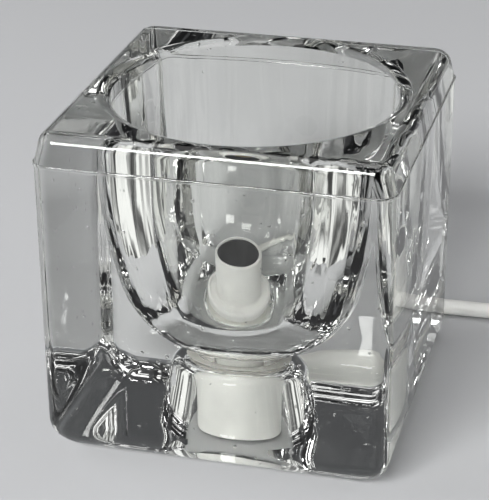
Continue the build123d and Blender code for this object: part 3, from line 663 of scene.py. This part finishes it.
class CUBELAMP_OT_lead(bpy.types.Operator):
    """Lays the lead: from the lamp to the switch, and on through its coil to the plug"""

    bl_idname = "cube_lamp.lead"
    bl_label = "Lead"

    def execute(self, context):
        settings = context.scene.lamp_lead
        sheath = moulded_finish("white sheath", settings.colour, 0.38, 700.0, 0.00003)
        lead = self.cord("lamp_lead", LEAD_ROUTE, settings, sheath)
        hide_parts("cord_lead")
        flex = self.cord("plug_flex", TAIL_ROUTE + self.coil() + PLUG_ROUTE, settings, sheath)
        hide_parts("cord_tail", "cord_coil", "plug_lead")
        return {"FINISHED"}

    def coil(self):
        """Turns of the coil: in along the lower layer and out along the upper one."""
        points = []
        climb_start = (COIL_TURNS - COIL_CLIMB) / 2
        last = COIL_TURNS * COIL_STEPS
        for step in range(last + 1):
            turns = step / COIL_STEPS
            swell = 1 / math.cos(math.pi / COIL_STEPS) if 0 < step < last else 1
            climb = min(max((turns - climb_start) / COIL_CLIMB, 0), 1)
            radius = (COIL_RADIUS - COIL_PITCH * min(turns, COIL_TURNS - turns)) * swell
            height = COIL_LAY + COIL_RISE * climb * climb * (3 - 2 * climb)
            angle = -2 * math.pi * turns
            points.append(
                (
                    COIL_CENTRE[0] + radius * math.cos(angle),
                    COIL_CENTRE[1] + radius * math.sin(angle),
                    height,
                )
            )
        return points

    def cord(self, name, route, settings, material):
        """A round cord that follows its route smoothly."""
        line = bpy.data.curves.new(name, "CURVE")
        line.dimensions = "3D"
        line.bevel_depth = settings.diameter / 2
        line.bevel_resolution = 5
        line.use_fill_caps = True
        spline = line.splines.new("NURBS")
        spline.points.add(len(route) - 1)
        for point, spot in zip(spline.points, route):
            point.co = (*spot, 1.0)
        spline.order_u = 3
        spline.use_endpoint_u = True
        spline.resolution_u = 6
        piece = bpy.data.objects.new(name, line)
        bpy.context.scene.collection.objects.link(piece)
        line.materials.append(material)
        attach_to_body(piece, "lamp")
        return piece


class CUBELAMP_OT_glass(bpy.types.Operator):
    """Makes the glass block with its bowl and the hollow under it"""

    bl_idname = "cube_lamp.glass"
    bl_label = "Glass block"

    # Points along each flat side and around each corner, and how near a corner the last one lies
    FLAT_STEPS = 84
    CORNER_STEPS = 12
    NEAR_CORNER = 0.994

    # Heights of the rings on the flat sides, and their distances from the seam near it
    SIDE_HEIGHTS = (0.03, 0.05, 0.075, 0.1)
    SEAM_NEAR = 0.0009
    SEAM_FAR = 0.0018

    # Half the height of the seam's bead and how far it stands out
    BEAD_HALF = 0.0008
    BEAD_PROUD = 0.00045

    # Width of the flat that is left between the lip and the top edge, at the middle of each side
    TOP_FLAT = 0.00015

    # The bowl's profile under its lip (radius, height): straight to the waist, then two arcs
    WAIST = Vector((0.0564, 0.109))
    HEEL = Vector((0.0484, 0.0622))
    SEAT = Vector((0.0249, 0.0375))

    # The hole in the bowl's floor and the hollow under it
    HOLE = 0.0169
    CEILING = 0.032
    HOLLOW_TOP = 0.0276
    HOLLOW_MOUTH = 0.034

    # Distances of the rings that keep a crease crisp
    CRISP = 0.0004
    CLOSE = 0.0005

    ARCH_RADIUS = 0.0125
    ARCH_CENTRE = 0.002

    def execute(self, context):
        settings = context.scene.lamp_glass
        places = self.places()
        rings = self.rings(settings)
        rows = [[self.spot(settings, place, ring) for place in places] for ring in rings]
        block = finish_mesh(woven(rows), "glass_block", glass_finish(settings))
        self.cut_arch(block)
        attach(block, "glass_cube")
        return {"FINISHED"}

    def places(self):
        """Places around the block: (side, share of the flat, turn of the corner)."""
        shares = [2 * step / self.FLAT_STEPS - 1 for step in range(self.FLAT_STEPS + 1)]
        shares[1:1] = [-self.NEAR_CORNER]
        shares[-1:-1] = [self.NEAR_CORNER]
        found = []
        for side in range(4):
            found += [(side, share, None) for share in shares]
            found += [(side, None, step / self.CORNER_STEPS) for step in range(1, self.CORNER_STEPS)]
        return found

    def on_outline(self, place, half, corner, height):
        """A point on a square with rounded corners."""
        side, share, turn = place
        flat = half - corner
        if turn is None:
            spot = Vector((share * flat, -half, height))
        else:
            angle = math.radians(90 * turn - 90)
            spot = Vector((flat + corner * math.cos(angle), corner * math.sin(angle) - flat, height))
        return Matrix.Rotation(math.radians(90 * side), 3, "Z") @ spot

    def on_circle(self, settings, place, radius, height):
        """A point on a circle, in line with the same place on the outline."""
        spot = self.on_outline(place, settings.width / 2, settings.corner, 0)
        if height > self.SEAT.y + 0.0001:
            radius += self.wave(settings, math.atan2(spot.y, spot.x), height)
        return spot * (radius / spot.length) + Vector((0, 0, height))

    def wave(self, settings, angle, height):
        """Upright waves that the plunger left in the wall of the bowl."""
        rise = (height - self.SEAT.y) / (settings.height - self.SEAT.y)
        fade = math.sin(math.pi * min(max(rise, 0), 1)) ** 0.5
        sides = 0.05 + 0.95 * math.cos(angle) ** 2
        drift = 0.7 * math.sin(45 * height) + 0.3 * math.sin(110 * height + 1)
        waves = (
            0.8 * math.sin(17 * angle + 0.4 + drift)
            + 0.8 * math.sin(29 * angle + 2.1 - 1.6 * drift)
            + 0.5 * math.sin(41 * angle + 0.9 + 2.2 * drift)
            + 0.3 * math.sin(67 * angle + 4.0 - 2.0 * drift)
        )
        return settings.plunger_wave * fade * sides * waves

    def spot(self, settings, place, ring):
        """A point of a ring: on an outline, on a circle or on the top, a given way between the two."""
        kind, values = ring
        if kind == "outline":
            return self.on_outline(place, *values)
        if kind == "circle":
            return self.on_circle(settings, place, *values)
        inner = self.on_circle(settings, place, *values[0])
        outer = self.on_outline(place, *values[1])
        reach = values[2] / (outer - inner).length
        share = min(reach, 0.4) if reach > 0 else max(1 + reach, 0.6)
        return inner.lerp(outer, share)

    def rings(self, settings):
        """Rings over the surface, from the hollow's mouth out, up the sides, into the bowl and back."""
        profile = self.bowl(settings) + self.hollow(settings)
        return self.outside(settings) + self.lip(settings) + [("circle", point) for point in profile]

    def top_edge(self, settings):
        """Lean of the sides above the seam, and the setback and middle of the top edge's rounding."""
        lean = math.atan2(settings.top_draft, settings.seam_drop)
        setback = settings.top_rounding * math.tan((math.pi / 2 - lean) / 2)
        inner = settings.width / 2 - settings.top_draft - setback
        return lean, setback, (inner, settings.height - settings.top_rounding)

    def outside(self, settings):
        """Rings from the hollow's mouth over the base and up the sides to the flat of the top."""
        half = settings.width / 2
        corner = settings.corner
        base = half - settings.base_draft
        rounding = settings.base_rounding
        seam = settings.height - settings.seam_drop
        lean, setback, (inner, level) = self.top_edge(settings)

        def lower(height):
            return base + (half - base) * (height - rounding) / (seam - rounding)

        def upper(height):
            return half - (height - seam) * math.tan(lean)

        outlines = [(base - rounding - self.CRISP, corner, 0.0)]
        for inset, rise in reversed(bend(0, math.pi / 2, 12)):
            outlines.append((base - rounding * inset, corner, rounding * (1 - rise)))
        below = (seam - self.SEAM_FAR, seam - self.SEAM_NEAR)
        for height in (rounding + self.CLOSE, *self.SIDE_HEIGHTS, *below):
            outlines.append((lower(height), corner, height))
        for step in range(9):
            turn = math.radians(180 * step / 8 - 90)
            height = seam + self.BEAD_HALF * math.sin(turn)
            proud = self.BEAD_PROUD * math.cos(turn)
            width = lower(height)
            if height >= seam:
                width = upper(height) + (half - upper(height)) * math.cos(turn)
            outlines.append((width + proud, corner + proud, height))
        edge = settings.top_rounding
        above = (seam + self.SEAM_NEAR, seam + self.SEAM_FAR)
        for height in (*above, level + edge * math.sin(lean) - self.CLOSE):
            outlines.append((upper(height), corner, height))
        for step in range(11):
            turn = lean + (math.pi / 2 - lean) * step / 10
            tight = corner - setback * (1 - math.cos(turn) / math.cos(lean))
            outlines.append((inner + edge * math.cos(turn), tight, level + edge * math.sin(turn)))
        mouth = [("circle", (self.HOLLOW_MOUTH + away, 0.0)) for away in (0.0, self.CLOSE)]
        return mouth + [("outline", outline) for outline in outlines]

    def lip(self, settings):
        """Rings over the flat of the top and down the slanted lip of the bowl."""
        _, setback, (inner, _) = self.top_edge(settings)
        top_line = (inner, settings.corner - setback, settings.height)
        foot = Vector((settings.bowl_radius, settings.height - settings.lip_rise))
        first = math.acos((inner - self.TOP_FLAT - foot.x) / settings.lip - 1)

        def curve(share):
            turn = first + (math.pi - first) * share
            across = settings.lip * (1 + math.cos(turn))
            return foot + Vector((across, settings.lip_rise * math.sin(turn)))

        edge = curve(0)
        rings = [("between", (edge, top_line, away)) for away in (-0.0005, 0.0006)]
        for step in range(11):
            slant = edge.lerp(foot, step / 10)
            rings.append(("circle", curve(step / 10).lerp(slant, settings.lip_slant)))
        return rings

    def bowl(self, settings):
        """Profile of the bowl, from under its lip to its floor."""
        foot = Vector((settings.bowl_radius, settings.height - settings.lip_rise))
        shares = [0.015, *(step / 10 for step in range(1, 11))]
        heading = (self.WAIST - foot).normalized()
        wall, heading = arc_to(self.WAIST, heading, self.HEEL, 18)
        floor, _ = arc_to(self.HEEL, heading, self.SEAT, 16)
        return [foot.lerp(self.WAIST, share) for share in shares] + wall + floor

    def hollow(self, settings):
        """Profile from the bowl's floor through the hole and down the hollow's wall."""
        floor = self.SEAT.y
        slope = math.atan2(self.HOLLOW_MOUTH - self.HOLLOW_TOP, self.CEILING)
        rounding = settings.hollow_rounding
        setback = rounding * (1 - math.sin(slope)) / math.cos(slope)
        shoulder = Vector((self.HOLLOW_TOP - setback, self.CEILING - rounding))
        mouth = Vector((self.HOLLOW_MOUTH, 0.0))
        profile = [
            (self.SEAT.x - self.CLOSE, floor),
            (self.HOLE + self.CRISP, floor),
            (self.HOLE, floor),
            (self.HOLE, floor - self.CRISP),
            (self.HOLE, self.CEILING + self.CRISP),
            (self.HOLE, self.CEILING),
            (self.HOLE + self.CRISP, self.CEILING),
            (shoulder.x - self.CLOSE, self.CEILING),
        ]
        for step in range(13):
            turn = math.pi / 2 + (slope - math.pi / 2) * step / 12
            profile.append(shoulder + rounding * Vector((math.cos(turn), math.sin(turn))))
        start = profile[-1]
        return profile + [start.lerp(mouth, step / 12) for step in range(1, 12)]

    def cut_arch(self, block):
        """Cuts the arch for the lead through the back of the base."""
        bm = bmesh.new()
        made = bmesh.ops.create_circle(bm, segments=64, radius=self.ARCH_RADIUS, cap_ends=True)
        for vert in made["verts"]:
            across, up = vert.co.x, vert.co.y
            vert.co = (across, 0.02, up + self.ARCH_CENTRE if up >= -1e-6 else -0.005)
        stretch(bm, list(bm.faces), 0.06)
        bmesh.ops.remove_doubles(bm, verts=bm.verts, dist=1e-7)
        bmesh.ops.recalc_face_normals(bm, faces=bm.faces)
        mesh = bpy.data.meshes.new("arch")
        bm.to_mesh(mesh)
        bm.free()
        arch = bpy.data.objects.new("arch", mesh)
        bpy.context.scene.collection.objects.link(arch)
        cut = block.modifiers.new("arch", "BOOLEAN")
        cut.operation = "DIFFERENCE"
        cut.solver = "EXACT"
        cut.object = arch
        depsgraph = bpy.context.evaluated_depsgraph_get()
        result = bpy.data.meshes.new_from_object(block.evaluated_get(depsgraph))
        block.modifiers.clear()
        block.data = result
        bpy.data.objects.remove(arch)
        bm = bmesh.new()
        bm.from_mesh(result)
        crease(bm)
        bm.to_mesh(result)
        bm.free()


class CUBELAMP_OT_fittings(bpy.types.Operator):
    """Gives the plastic, rubber and metal fittings their finishes"""

    bl_idname = "cube_lamp.fittings"
    bl_label = "Fittings"

    def execute(self, context):
        finishes = {
            "white_plastic": moulded_finish("white moulded plastic", HOLDER_WHITE),
            "dark_plastic": moulded_finish("dark moulded plastic", (0.02, 0.018, 0.017), 0.32),
            "white_cord": moulded_finish("white inner sheath", SHEATH_WHITE),
            "core_wire": moulded_finish("wire cover", (0.25, 0.12, 0.06), 0.4),
            "white_rubber": moulded_finish("white soft rubber", (0.74, 0.73, 0.70), 0.6),
            "tie": moulded_finish("tie strap", (0.76, 0.75, 0.72), 0.5),
            "brass": metal_finish("worn brass", BRASS),
            "nickel": metal_finish("nickel plate", NICKEL, 0.2),
            "steel": metal_finish("zinc-plated steel", (0.62, 0.63, 0.64)),
        }
        for subpart in frame["record"]["subparts"]:
            finish = finishes.get(subpart["material_slot"])
            if finish:
                node = frame["nodes"][subpart["node"]]
                node.data.materials.clear()
                node.data.materials.append(finish)
        return {"FINISHED"}


class CUBELAMP_OT_holder(bpy.types.Operator):
    """Turns the lamp holder, its clamp ring and its washers"""

    bl_idname = "cube_lamp.holder"
    bl_label = "Lamp holder"

    # Outlines in millimetres: radius, height and rounding
    SLEEVE = [
        (15.8, 22.5, 0.2),
        (15.8, 25.5),
        (19.5, 25.5, 0.3),
        (19.5, 28.5, 0.3),
        (15.8, 28.5),
        (15.8, 63.2, 0.75),
        (14.2, 63.2, 0.5),
        (14.2, 62.2),
        (14.6, 62.2),
        (14.6, 22.5, 0.2),
    ]
    LINER = [
        (14.45, 22.5, 0.2),
        (14.45, 62.2, 0.2),
        (13.45, 62.2, 0.3),
        (13.45, 46.5, 0.8),
        (7.55, 46.5, 0.6),
        (7.55, 28.5),
        (3.15, 28.5),
        (3.15, 26.5),
        (2.0, 26.5),
        (2.0, 22.5),
    ]
    CONTACT = [(0, 26.5), (3.0, 26.5), (3.0, 28.5, 0.5), (1.4, 28.5, 0.4), (1.0, 28.2, 0.3), (0, 28.2)]
    RING = [
        (22.7, 38.5, 0.3),
        (22.7, 42.4, 1.4),
        (20.7, 42.4, 0.5),
        (20.2, 41.7, 0.4),
        (16.7, 41.7, 0.2),
        (15.95, 42.4, 0.1),
        (15.95, 38.5),
    ]
    SHELL_FOOT = 0.0285
    SHELL_HEIGHT = 0.018
    SHELL_RADIUS = 0.0074

    def execute(self, context):
        settings = context.scene.lamp_holder
        white = moulded_finish("white holder plastic", settings.white, 0.3)
        dark = moulded_finish("dark liner plastic", settings.dark, 0.4)
        rubber = moulded_finish("washer rubber", settings.rubber, 0.6)
        brass = metal_finish("socket brass", settings.brass)
        for name, corners, material, node, slot in (
            ("sleeve", self.SLEEVE, white, "holder_sleeve", "white_plastic"),
            ("liner", self.LINER, dark, "holder_core", "dark_plastic"),
            ("contact", self.CONTACT, brass, "centre_contact", "brass"),
            ("ring", self.RING, white, "clamp_ring", "white_plastic"),
            ("washer_above", self.washer(37.45, 38.5), rubber, "upper_washer", "white_rubber"),
            ("washer_below", self.washer(31.0, 32.05), rubber, "lower_washer", "white_rubber"),
        ):
            piece = finish_mesh(turned(soften(millimetres(corners))), name, material)
            attach(piece, node)
        shell = finish_mesh(self.shell(settings), "shell", brass, 60.0)
        attach(shell, "screw_shell")
        return {"FINISHED"}

    def washer(self, bottom, top):
        """A soft ring, pressed a little into the glass so that it shows through it."""
        corners = ((21.9, bottom), (21.9, top), (16.9, top), (16.9, bottom))
        return [(*corner, 0.3) for corner in corners]

    def shell(self, settings):
        """The socket's shell: thin brass with a rolled thread and a plain band at its ends."""
        around, levels = 96, 120
        shares = [level / levels for level in range(levels + 1)]
        skins = [(share, 0.0) for share in shares]
        skins += [(share, settings.shell_wall) for share in reversed(shares)]
        rows = []
        for share, wall in skins:
            height = self.SHELL_FOOT + self.SHELL_HEIGHT * share
            depth = settings.thread_depth * min(min(share, 1 - share) / 0.12, 1.0)
            row = []
            for step in range(around):
                angle = 2 * math.pi * step / around
                turn = 2 * math.pi * height / settings.thread_pitch - angle
                radius = self.SHELL_RADIUS - wall - depth * (0.5 - 0.5 * math.cos(turn))
                row.append((radius * math.cos(angle), radius * math.sin(angle), height))
            rows.append(row)
        return woven(rows)


class CUBELAMP_OT_switch(bpy.types.Operator):
    """Moulds the lid and the rocker of the cord switch"""

    bl_idname = "cube_lamp.switch"
    bl_label = "Cord switch"

    MIDDLE = Vector((0.144, 0.0914, 0))
    SPINE = 0.017
    REACH = 0.013
    WALL = 0.002
    WINDOW = (0.011, 0.0066)

    # Heights of the lid's lower edge, of the underside of its roof and of its top
    FOOT = 0.006
    ROOF = 0.017
    TOP = 0.019

    # The rocker: height of its pin, its tilt at rest, its reach and half its width
    PIVOT = 0.0155
    TILT = math.radians(10)
    ROCKER_REACH = 0.0106
    ROCKER_HALF = 0.0062

    # Heights on the rocker's round ends, their tips and the dish between (across, height, rounding)
    END_HEIGHTS = (-0.004, -0.0025, -0.001, 0.0005, 0.002, 0.0034)
    TIP = 0.0046
    TIP_ROUNDING = 0.0005
    DISH = (0.0, 0.0022, 0.004)

    def execute(self, context):
        settings = context.scene.lamp_switch
        white = moulded_finish("white switch plastic", settings.white, 0.32)
        lid = finish_mesh(woven(self.lid(settings)), "switch_lid", white)
        attach(lid, "switch_cover")
        rocker = finish_mesh(self.rocker(settings), "rocker_key", white)
        attach(rocker, "switch_rocker", "rocker")
        return {"FINISHED"}

    def columns(self):
        """Places around the switch: (place along its spine, direction)."""
        found = []
        for end, first in ((self.SPINE, -90), (-self.SPINE, 90)):
            found += [(end, math.radians(first + 180 * step / 32)) for step in range(33)]
            found += [(end * (1 - step / 12), math.radians(first + 180)) for step in range(1, 24)]
        return found

    def ring(self, inset, height):
        """A ring around the switch, set in from its side."""
        reach = self.REACH - inset
        return [
            self.MIDDLE + Vector((spine + reach * math.cos(turn), reach * math.sin(turn), height))
            for spine, turn in self.columns()
        ]

    def opening(self, margin, height):
        """A ring around the window, where the rocker stands."""
        half = [side + margin for side in self.WINDOW]
        spots = []
        for spot in self.ring(0.003, height):
            across = spot - self.MIDDLE
            share = min(half[axis] / max(abs(across[axis]), 1e-9) for axis in (0, 1))
            spots.append(self.MIDDLE + Vector((across.x * share, across.y * share, height)))
        return spots

    def lid(self, settings):
        """Rings over the lid: up its outside, down into the window and back along the inside."""
        rim, edge = settings.rim, settings.edge
        rows = [self.ring(self.WALL, self.FOOT), self.ring(rim, self.FOOT)]
        for inset, rise in bend(0.3, math.pi / 2, 3):
            rows.append(self.ring(rim * (1 - rise), self.FOOT + rim * inset))
        for inset, rise in bend(0, math.pi / 2, 10):
            rows.append(self.ring(edge * inset, self.TOP - edge + edge * rise))
        rows += [self.opening(0.0011, self.TOP), self.opening(0.0008, self.TOP - 0.00015)]
        for inset, rise in bend(0.3, 1.4, 3):
            rows.append(self.opening(rim * (1 - rise), self.TOP - rim * (0.5 + inset)))
        rows += [self.opening(0.0, self.TOP - 2 * rim), self.opening(0.0, self.ROOF)]
        rows.append(self.ring(self.WALL, self.ROOF))
        return rows

    def rocker(self, settings):
        """The rocker: a curved dish with round ends, tilted as it stands at rest."""
        along = Vector((math.cos(self.TILT), 0, math.sin(self.TILT)))
        up = Vector((-math.sin(self.TILT), 0, math.cos(self.TILT)))
        heights = [(height, 0.0) for height in self.END_HEIGHTS] + [(self.TIP, self.TIP_ROUNDING)]
        corners = []
        for height, rounding in heights:
            corners.append((math.sqrt(self.ROCKER_REACH**2 - height**2), height, rounding))
        corners.append(self.DISH)
        corners += [(-across, height, rounding) for across, height, rounding in corners[-2::-1]]
        outline = soften(corners)
        bm = bmesh.new()
        middle = self.MIDDLE + Vector((0, -self.ROCKER_HALF, self.PIVOT))
        face = bm.faces.new([bm.verts.new(middle + along * spot.x + up * spot.y) for spot in outline])
        stretch(bm, [face], 2 * self.ROCKER_HALF)
        bmesh.ops.recalc_face_normals(bm, faces=bm.faces)
        rims = [
            edge
            for edge in bm.edges
            if edge.verts[0].co.y == edge.verts[1].co.y and edge.calc_face_angle() > math.radians(60)
        ]
        bmesh.ops.bevel(
            bm,
            geom=rims,
            offset=settings.rocker_edge,
            offset_type="OFFSET",
            affect="EDGES",
            segments=3,
            profile=0.5,
            material=-1,
        )
        bmesh.ops.recalc_face_normals(bm, faces=bm.faces)
        return bm


class CUBELAMP_OT_plug(bpy.types.Operator):
    """Moulds the plug with its pins and its ribbed boot"""

    bl_idname = "cube_lamp.plug"
    bl_label = "Plug"

    MIDDLE = Vector((0.1495, -0.0475, 0))
    AXIS = 0.00685
    HIGH = 0.0137
    HALF = (0.017, 0.0176)
    PIN_SIDE = 0.0093

    # Outlines in millimetres
    OUTLINE = [
        (17, 8, 2.5),
        (-3, 17.6, 4),
        (-17, 17.6, 2.5),
        (-17, -17.6, 2.5),
        (-3, -17.6, 4),
        (17, -8, 2.5),
    ]
    BOOT_END = 22.0
    BOOT_BORE = 3.65
    BOOT_WIDE = 5.85
    BOOT_NARROW = 4.65
    RIB_FLOOR = 4.9
    RIB_WIDTH = 2.4
    PIN = [(0, -8.0), (1.2, -8.0, 0.2), (1.2, 10.0), (2.0, 10.0, 0.2), (2.0, 19.0, 1.2), (0, 19.0)]
    SLEEVE = [(1.35, 0.0), (1.8, 0.0), (1.8, 10.0, 0.25), (1.35, 10.0)]

    def execute(self, context):
        settings = context.scene.lamp_plug
        white = moulded_finish("white plug plastic", settings.white, 0.36)
        dark = moulded_finish("pin sleeve plastic", settings.dark, 0.35)
        nickel = metal_finish("plated pin", settings.nickel, 0.18)
        body = finish_mesh(woven(self.body(settings), closed=False), "plug_shell", white)
        attach(body, "plug_body")
        boot = self.laid(self.boot(), Vector((self.HALF[0], 0, self.AXIS)), 1)
        attach(finish_mesh(boot, "plug_strain_relief", white), "plug_boot")
        for number, side in enumerate((-1, 1), start=1):
            spot = Vector((-self.HALF[0], side * self.PIN_SIDE, self.AXIS))
            pin = finish_mesh(self.laid(self.PIN, spot, -1), f"pin_{number}", nickel)
            attach(pin, f"plug_pin_{number}")
            sleeve = finish_mesh(self.laid(self.SLEEVE, spot, -1), f"sleeve_{number}", dark)
            attach(sleeve, f"pin_sleeve_{number}")
        return {"FINISHED"}

    def laid(self, corners, spot, heading):
        """A turned piece laid along the X axis, from a spot given from the plug's middle."""
        bm = turned(soften(millimetres(corners)), 48)
        turn = Matrix.Rotation(heading * math.pi / 2, 3, "Y")
        bmesh.ops.rotate(bm, verts=bm.verts, cent=(0, 0, 0), matrix=turn)
        bmesh.ops.translate(bm, verts=bm.verts, vec=self.MIDDLE + spot)
        return bm

    def boot(self):
        """Outline of the boot: a tapered tube with rounded ribs."""
        wide, floor = self.BOOT_WIDE, self.RIB_FLOOR
        corners = [(self.BOOT_BORE, self.BOOT_END), (self.BOOT_BORE, 0.0), (wide, 0.0)]
        for rib in range(4):
            start = self.RIB_WIDTH * (2 * rib + 1.5)
            outer = wide - (wide - self.BOOT_NARROW) * (start + self.RIB_WIDTH / 2) / self.BOOT_END
            corners += [(outer, start - 0.1, 0.3), (floor, start + 0.15, 0.2)]
            corners += [(floor, start + 1.05, 0.2), (outer, start + 1.3, 0.3)]
        return corners + [(self.BOOT_NARROW, self.BOOT_END, 0.4)]

    def body(self, settings):
        """Rings over the plug's body: its underside, its side with a seam and its sunk top."""
        outline = soften(millimetres(self.OUTLINE), 8)
        high, edge, groove = self.HIGH, settings.edge, settings.groove

        def ring(inset, height):
            wide, deep = [(half - inset) / half for half in self.HALF]
            return [self.MIDDLE + Vector((spot.x * wide, spot.y * deep, height)) for spot in outline]

        def cap(row):
            return [sum(row, Vector()) / len(row)] * len(row)

        quarter = [(edge * inset, edge * rise) for inset, rise in bend(0, math.pi / 2, 8)]
        seam = [(0, 0.0005), (0, 0.0002), (groove, 0.0001)]
        sunk = [(0.0042, 0.0), (0.0050, 0.0001), (0.0058, 0.0004), (0.0068, 0.00055), (0.0165, 0.00065)]
        rows = [ring(0.0165, 0.0), ring(0.006, 0.0)]
        rows += [ring(inset, edge - rise) for inset, rise in reversed(quarter)]
        rows += [ring(inset, high / 2 - away) for inset, away in seam]
        rows += [ring(inset, high / 2 + away) for inset, away in reversed(seam)]
        rows += [ring(inset, high - edge + rise) for inset, rise in quarter]
        rows += [ring(inset, high - drop) for inset, drop in sunk]
        return [cap(rows[0]), *rows, cap(rows[-1])]


class CUBELAMP_PT_panel(bpy.types.Panel):
    """Lists the lamp's operators and settings"""

    bl_idname = "CUBELAMP_PT_panel"
    bl_label = "Cube Lamp"
    bl_space_type = "VIEW_3D"
    bl_region_type = "UI"
    bl_category = "Cube Lamp"

    def draw(self, context):
        layout = self.layout
        for operator in OPERATORS:
            layout.operator(operator.bl_idname)
        for setting, group in SETTINGS:
            for name in group.__annotations__:
                layout.prop(getattr(context.scene, setting), name)


SETTINGS = (
    ("lamp_glass", GlassBlockSettings),
    ("lamp_lead", LeadSettings),
    ("lamp_holder", HolderSettings),
    ("lamp_switch", SwitchSettings),
    ("lamp_plug", PlugSettings),
    ("lamp_stage", StageSettings),
)
OPERATORS = (
    CUBELAMP_OT_stage,
    CUBELAMP_OT_fittings,
    CUBELAMP_OT_switch,
    CUBELAMP_OT_plug,
    CUBELAMP_OT_lead,
    CUBELAMP_OT_holder,
    CUBELAMP_OT_glass,
)


def register():
    for name, group in SETTINGS:
        bpy.utils.register_class(group)
        setattr(bpy.types.Scene, name, PointerProperty(type=group))
    for operator in OPERATORS:
        bpy.utils.register_class(operator)
    bpy.utils.register_class(CUBELAMP_PT_panel)


def unregister():
    bpy.utils.unregister_class(CUBELAMP_PT_panel)
    for operator in reversed(OPERATORS):
        bpy.utils.unregister_class(operator)
    for name, group in reversed(SETTINGS):
        delattr(bpy.types.Scene, name)
        bpy.utils.unregister_class(group)


def main():
    register()
    bpy.ops.cube_lamp.stage()
    bpy.ops.cube_lamp.fittings()
    bpy.ops.cube_lamp.switch()
    bpy.ops.cube_lamp.plug()
    bpy.ops.cube_lamp.lead()
    bpy.ops.cube_lamp.holder()
    bpy.ops.cube_lamp.glass()


if __name__ == "__main__":
    main()
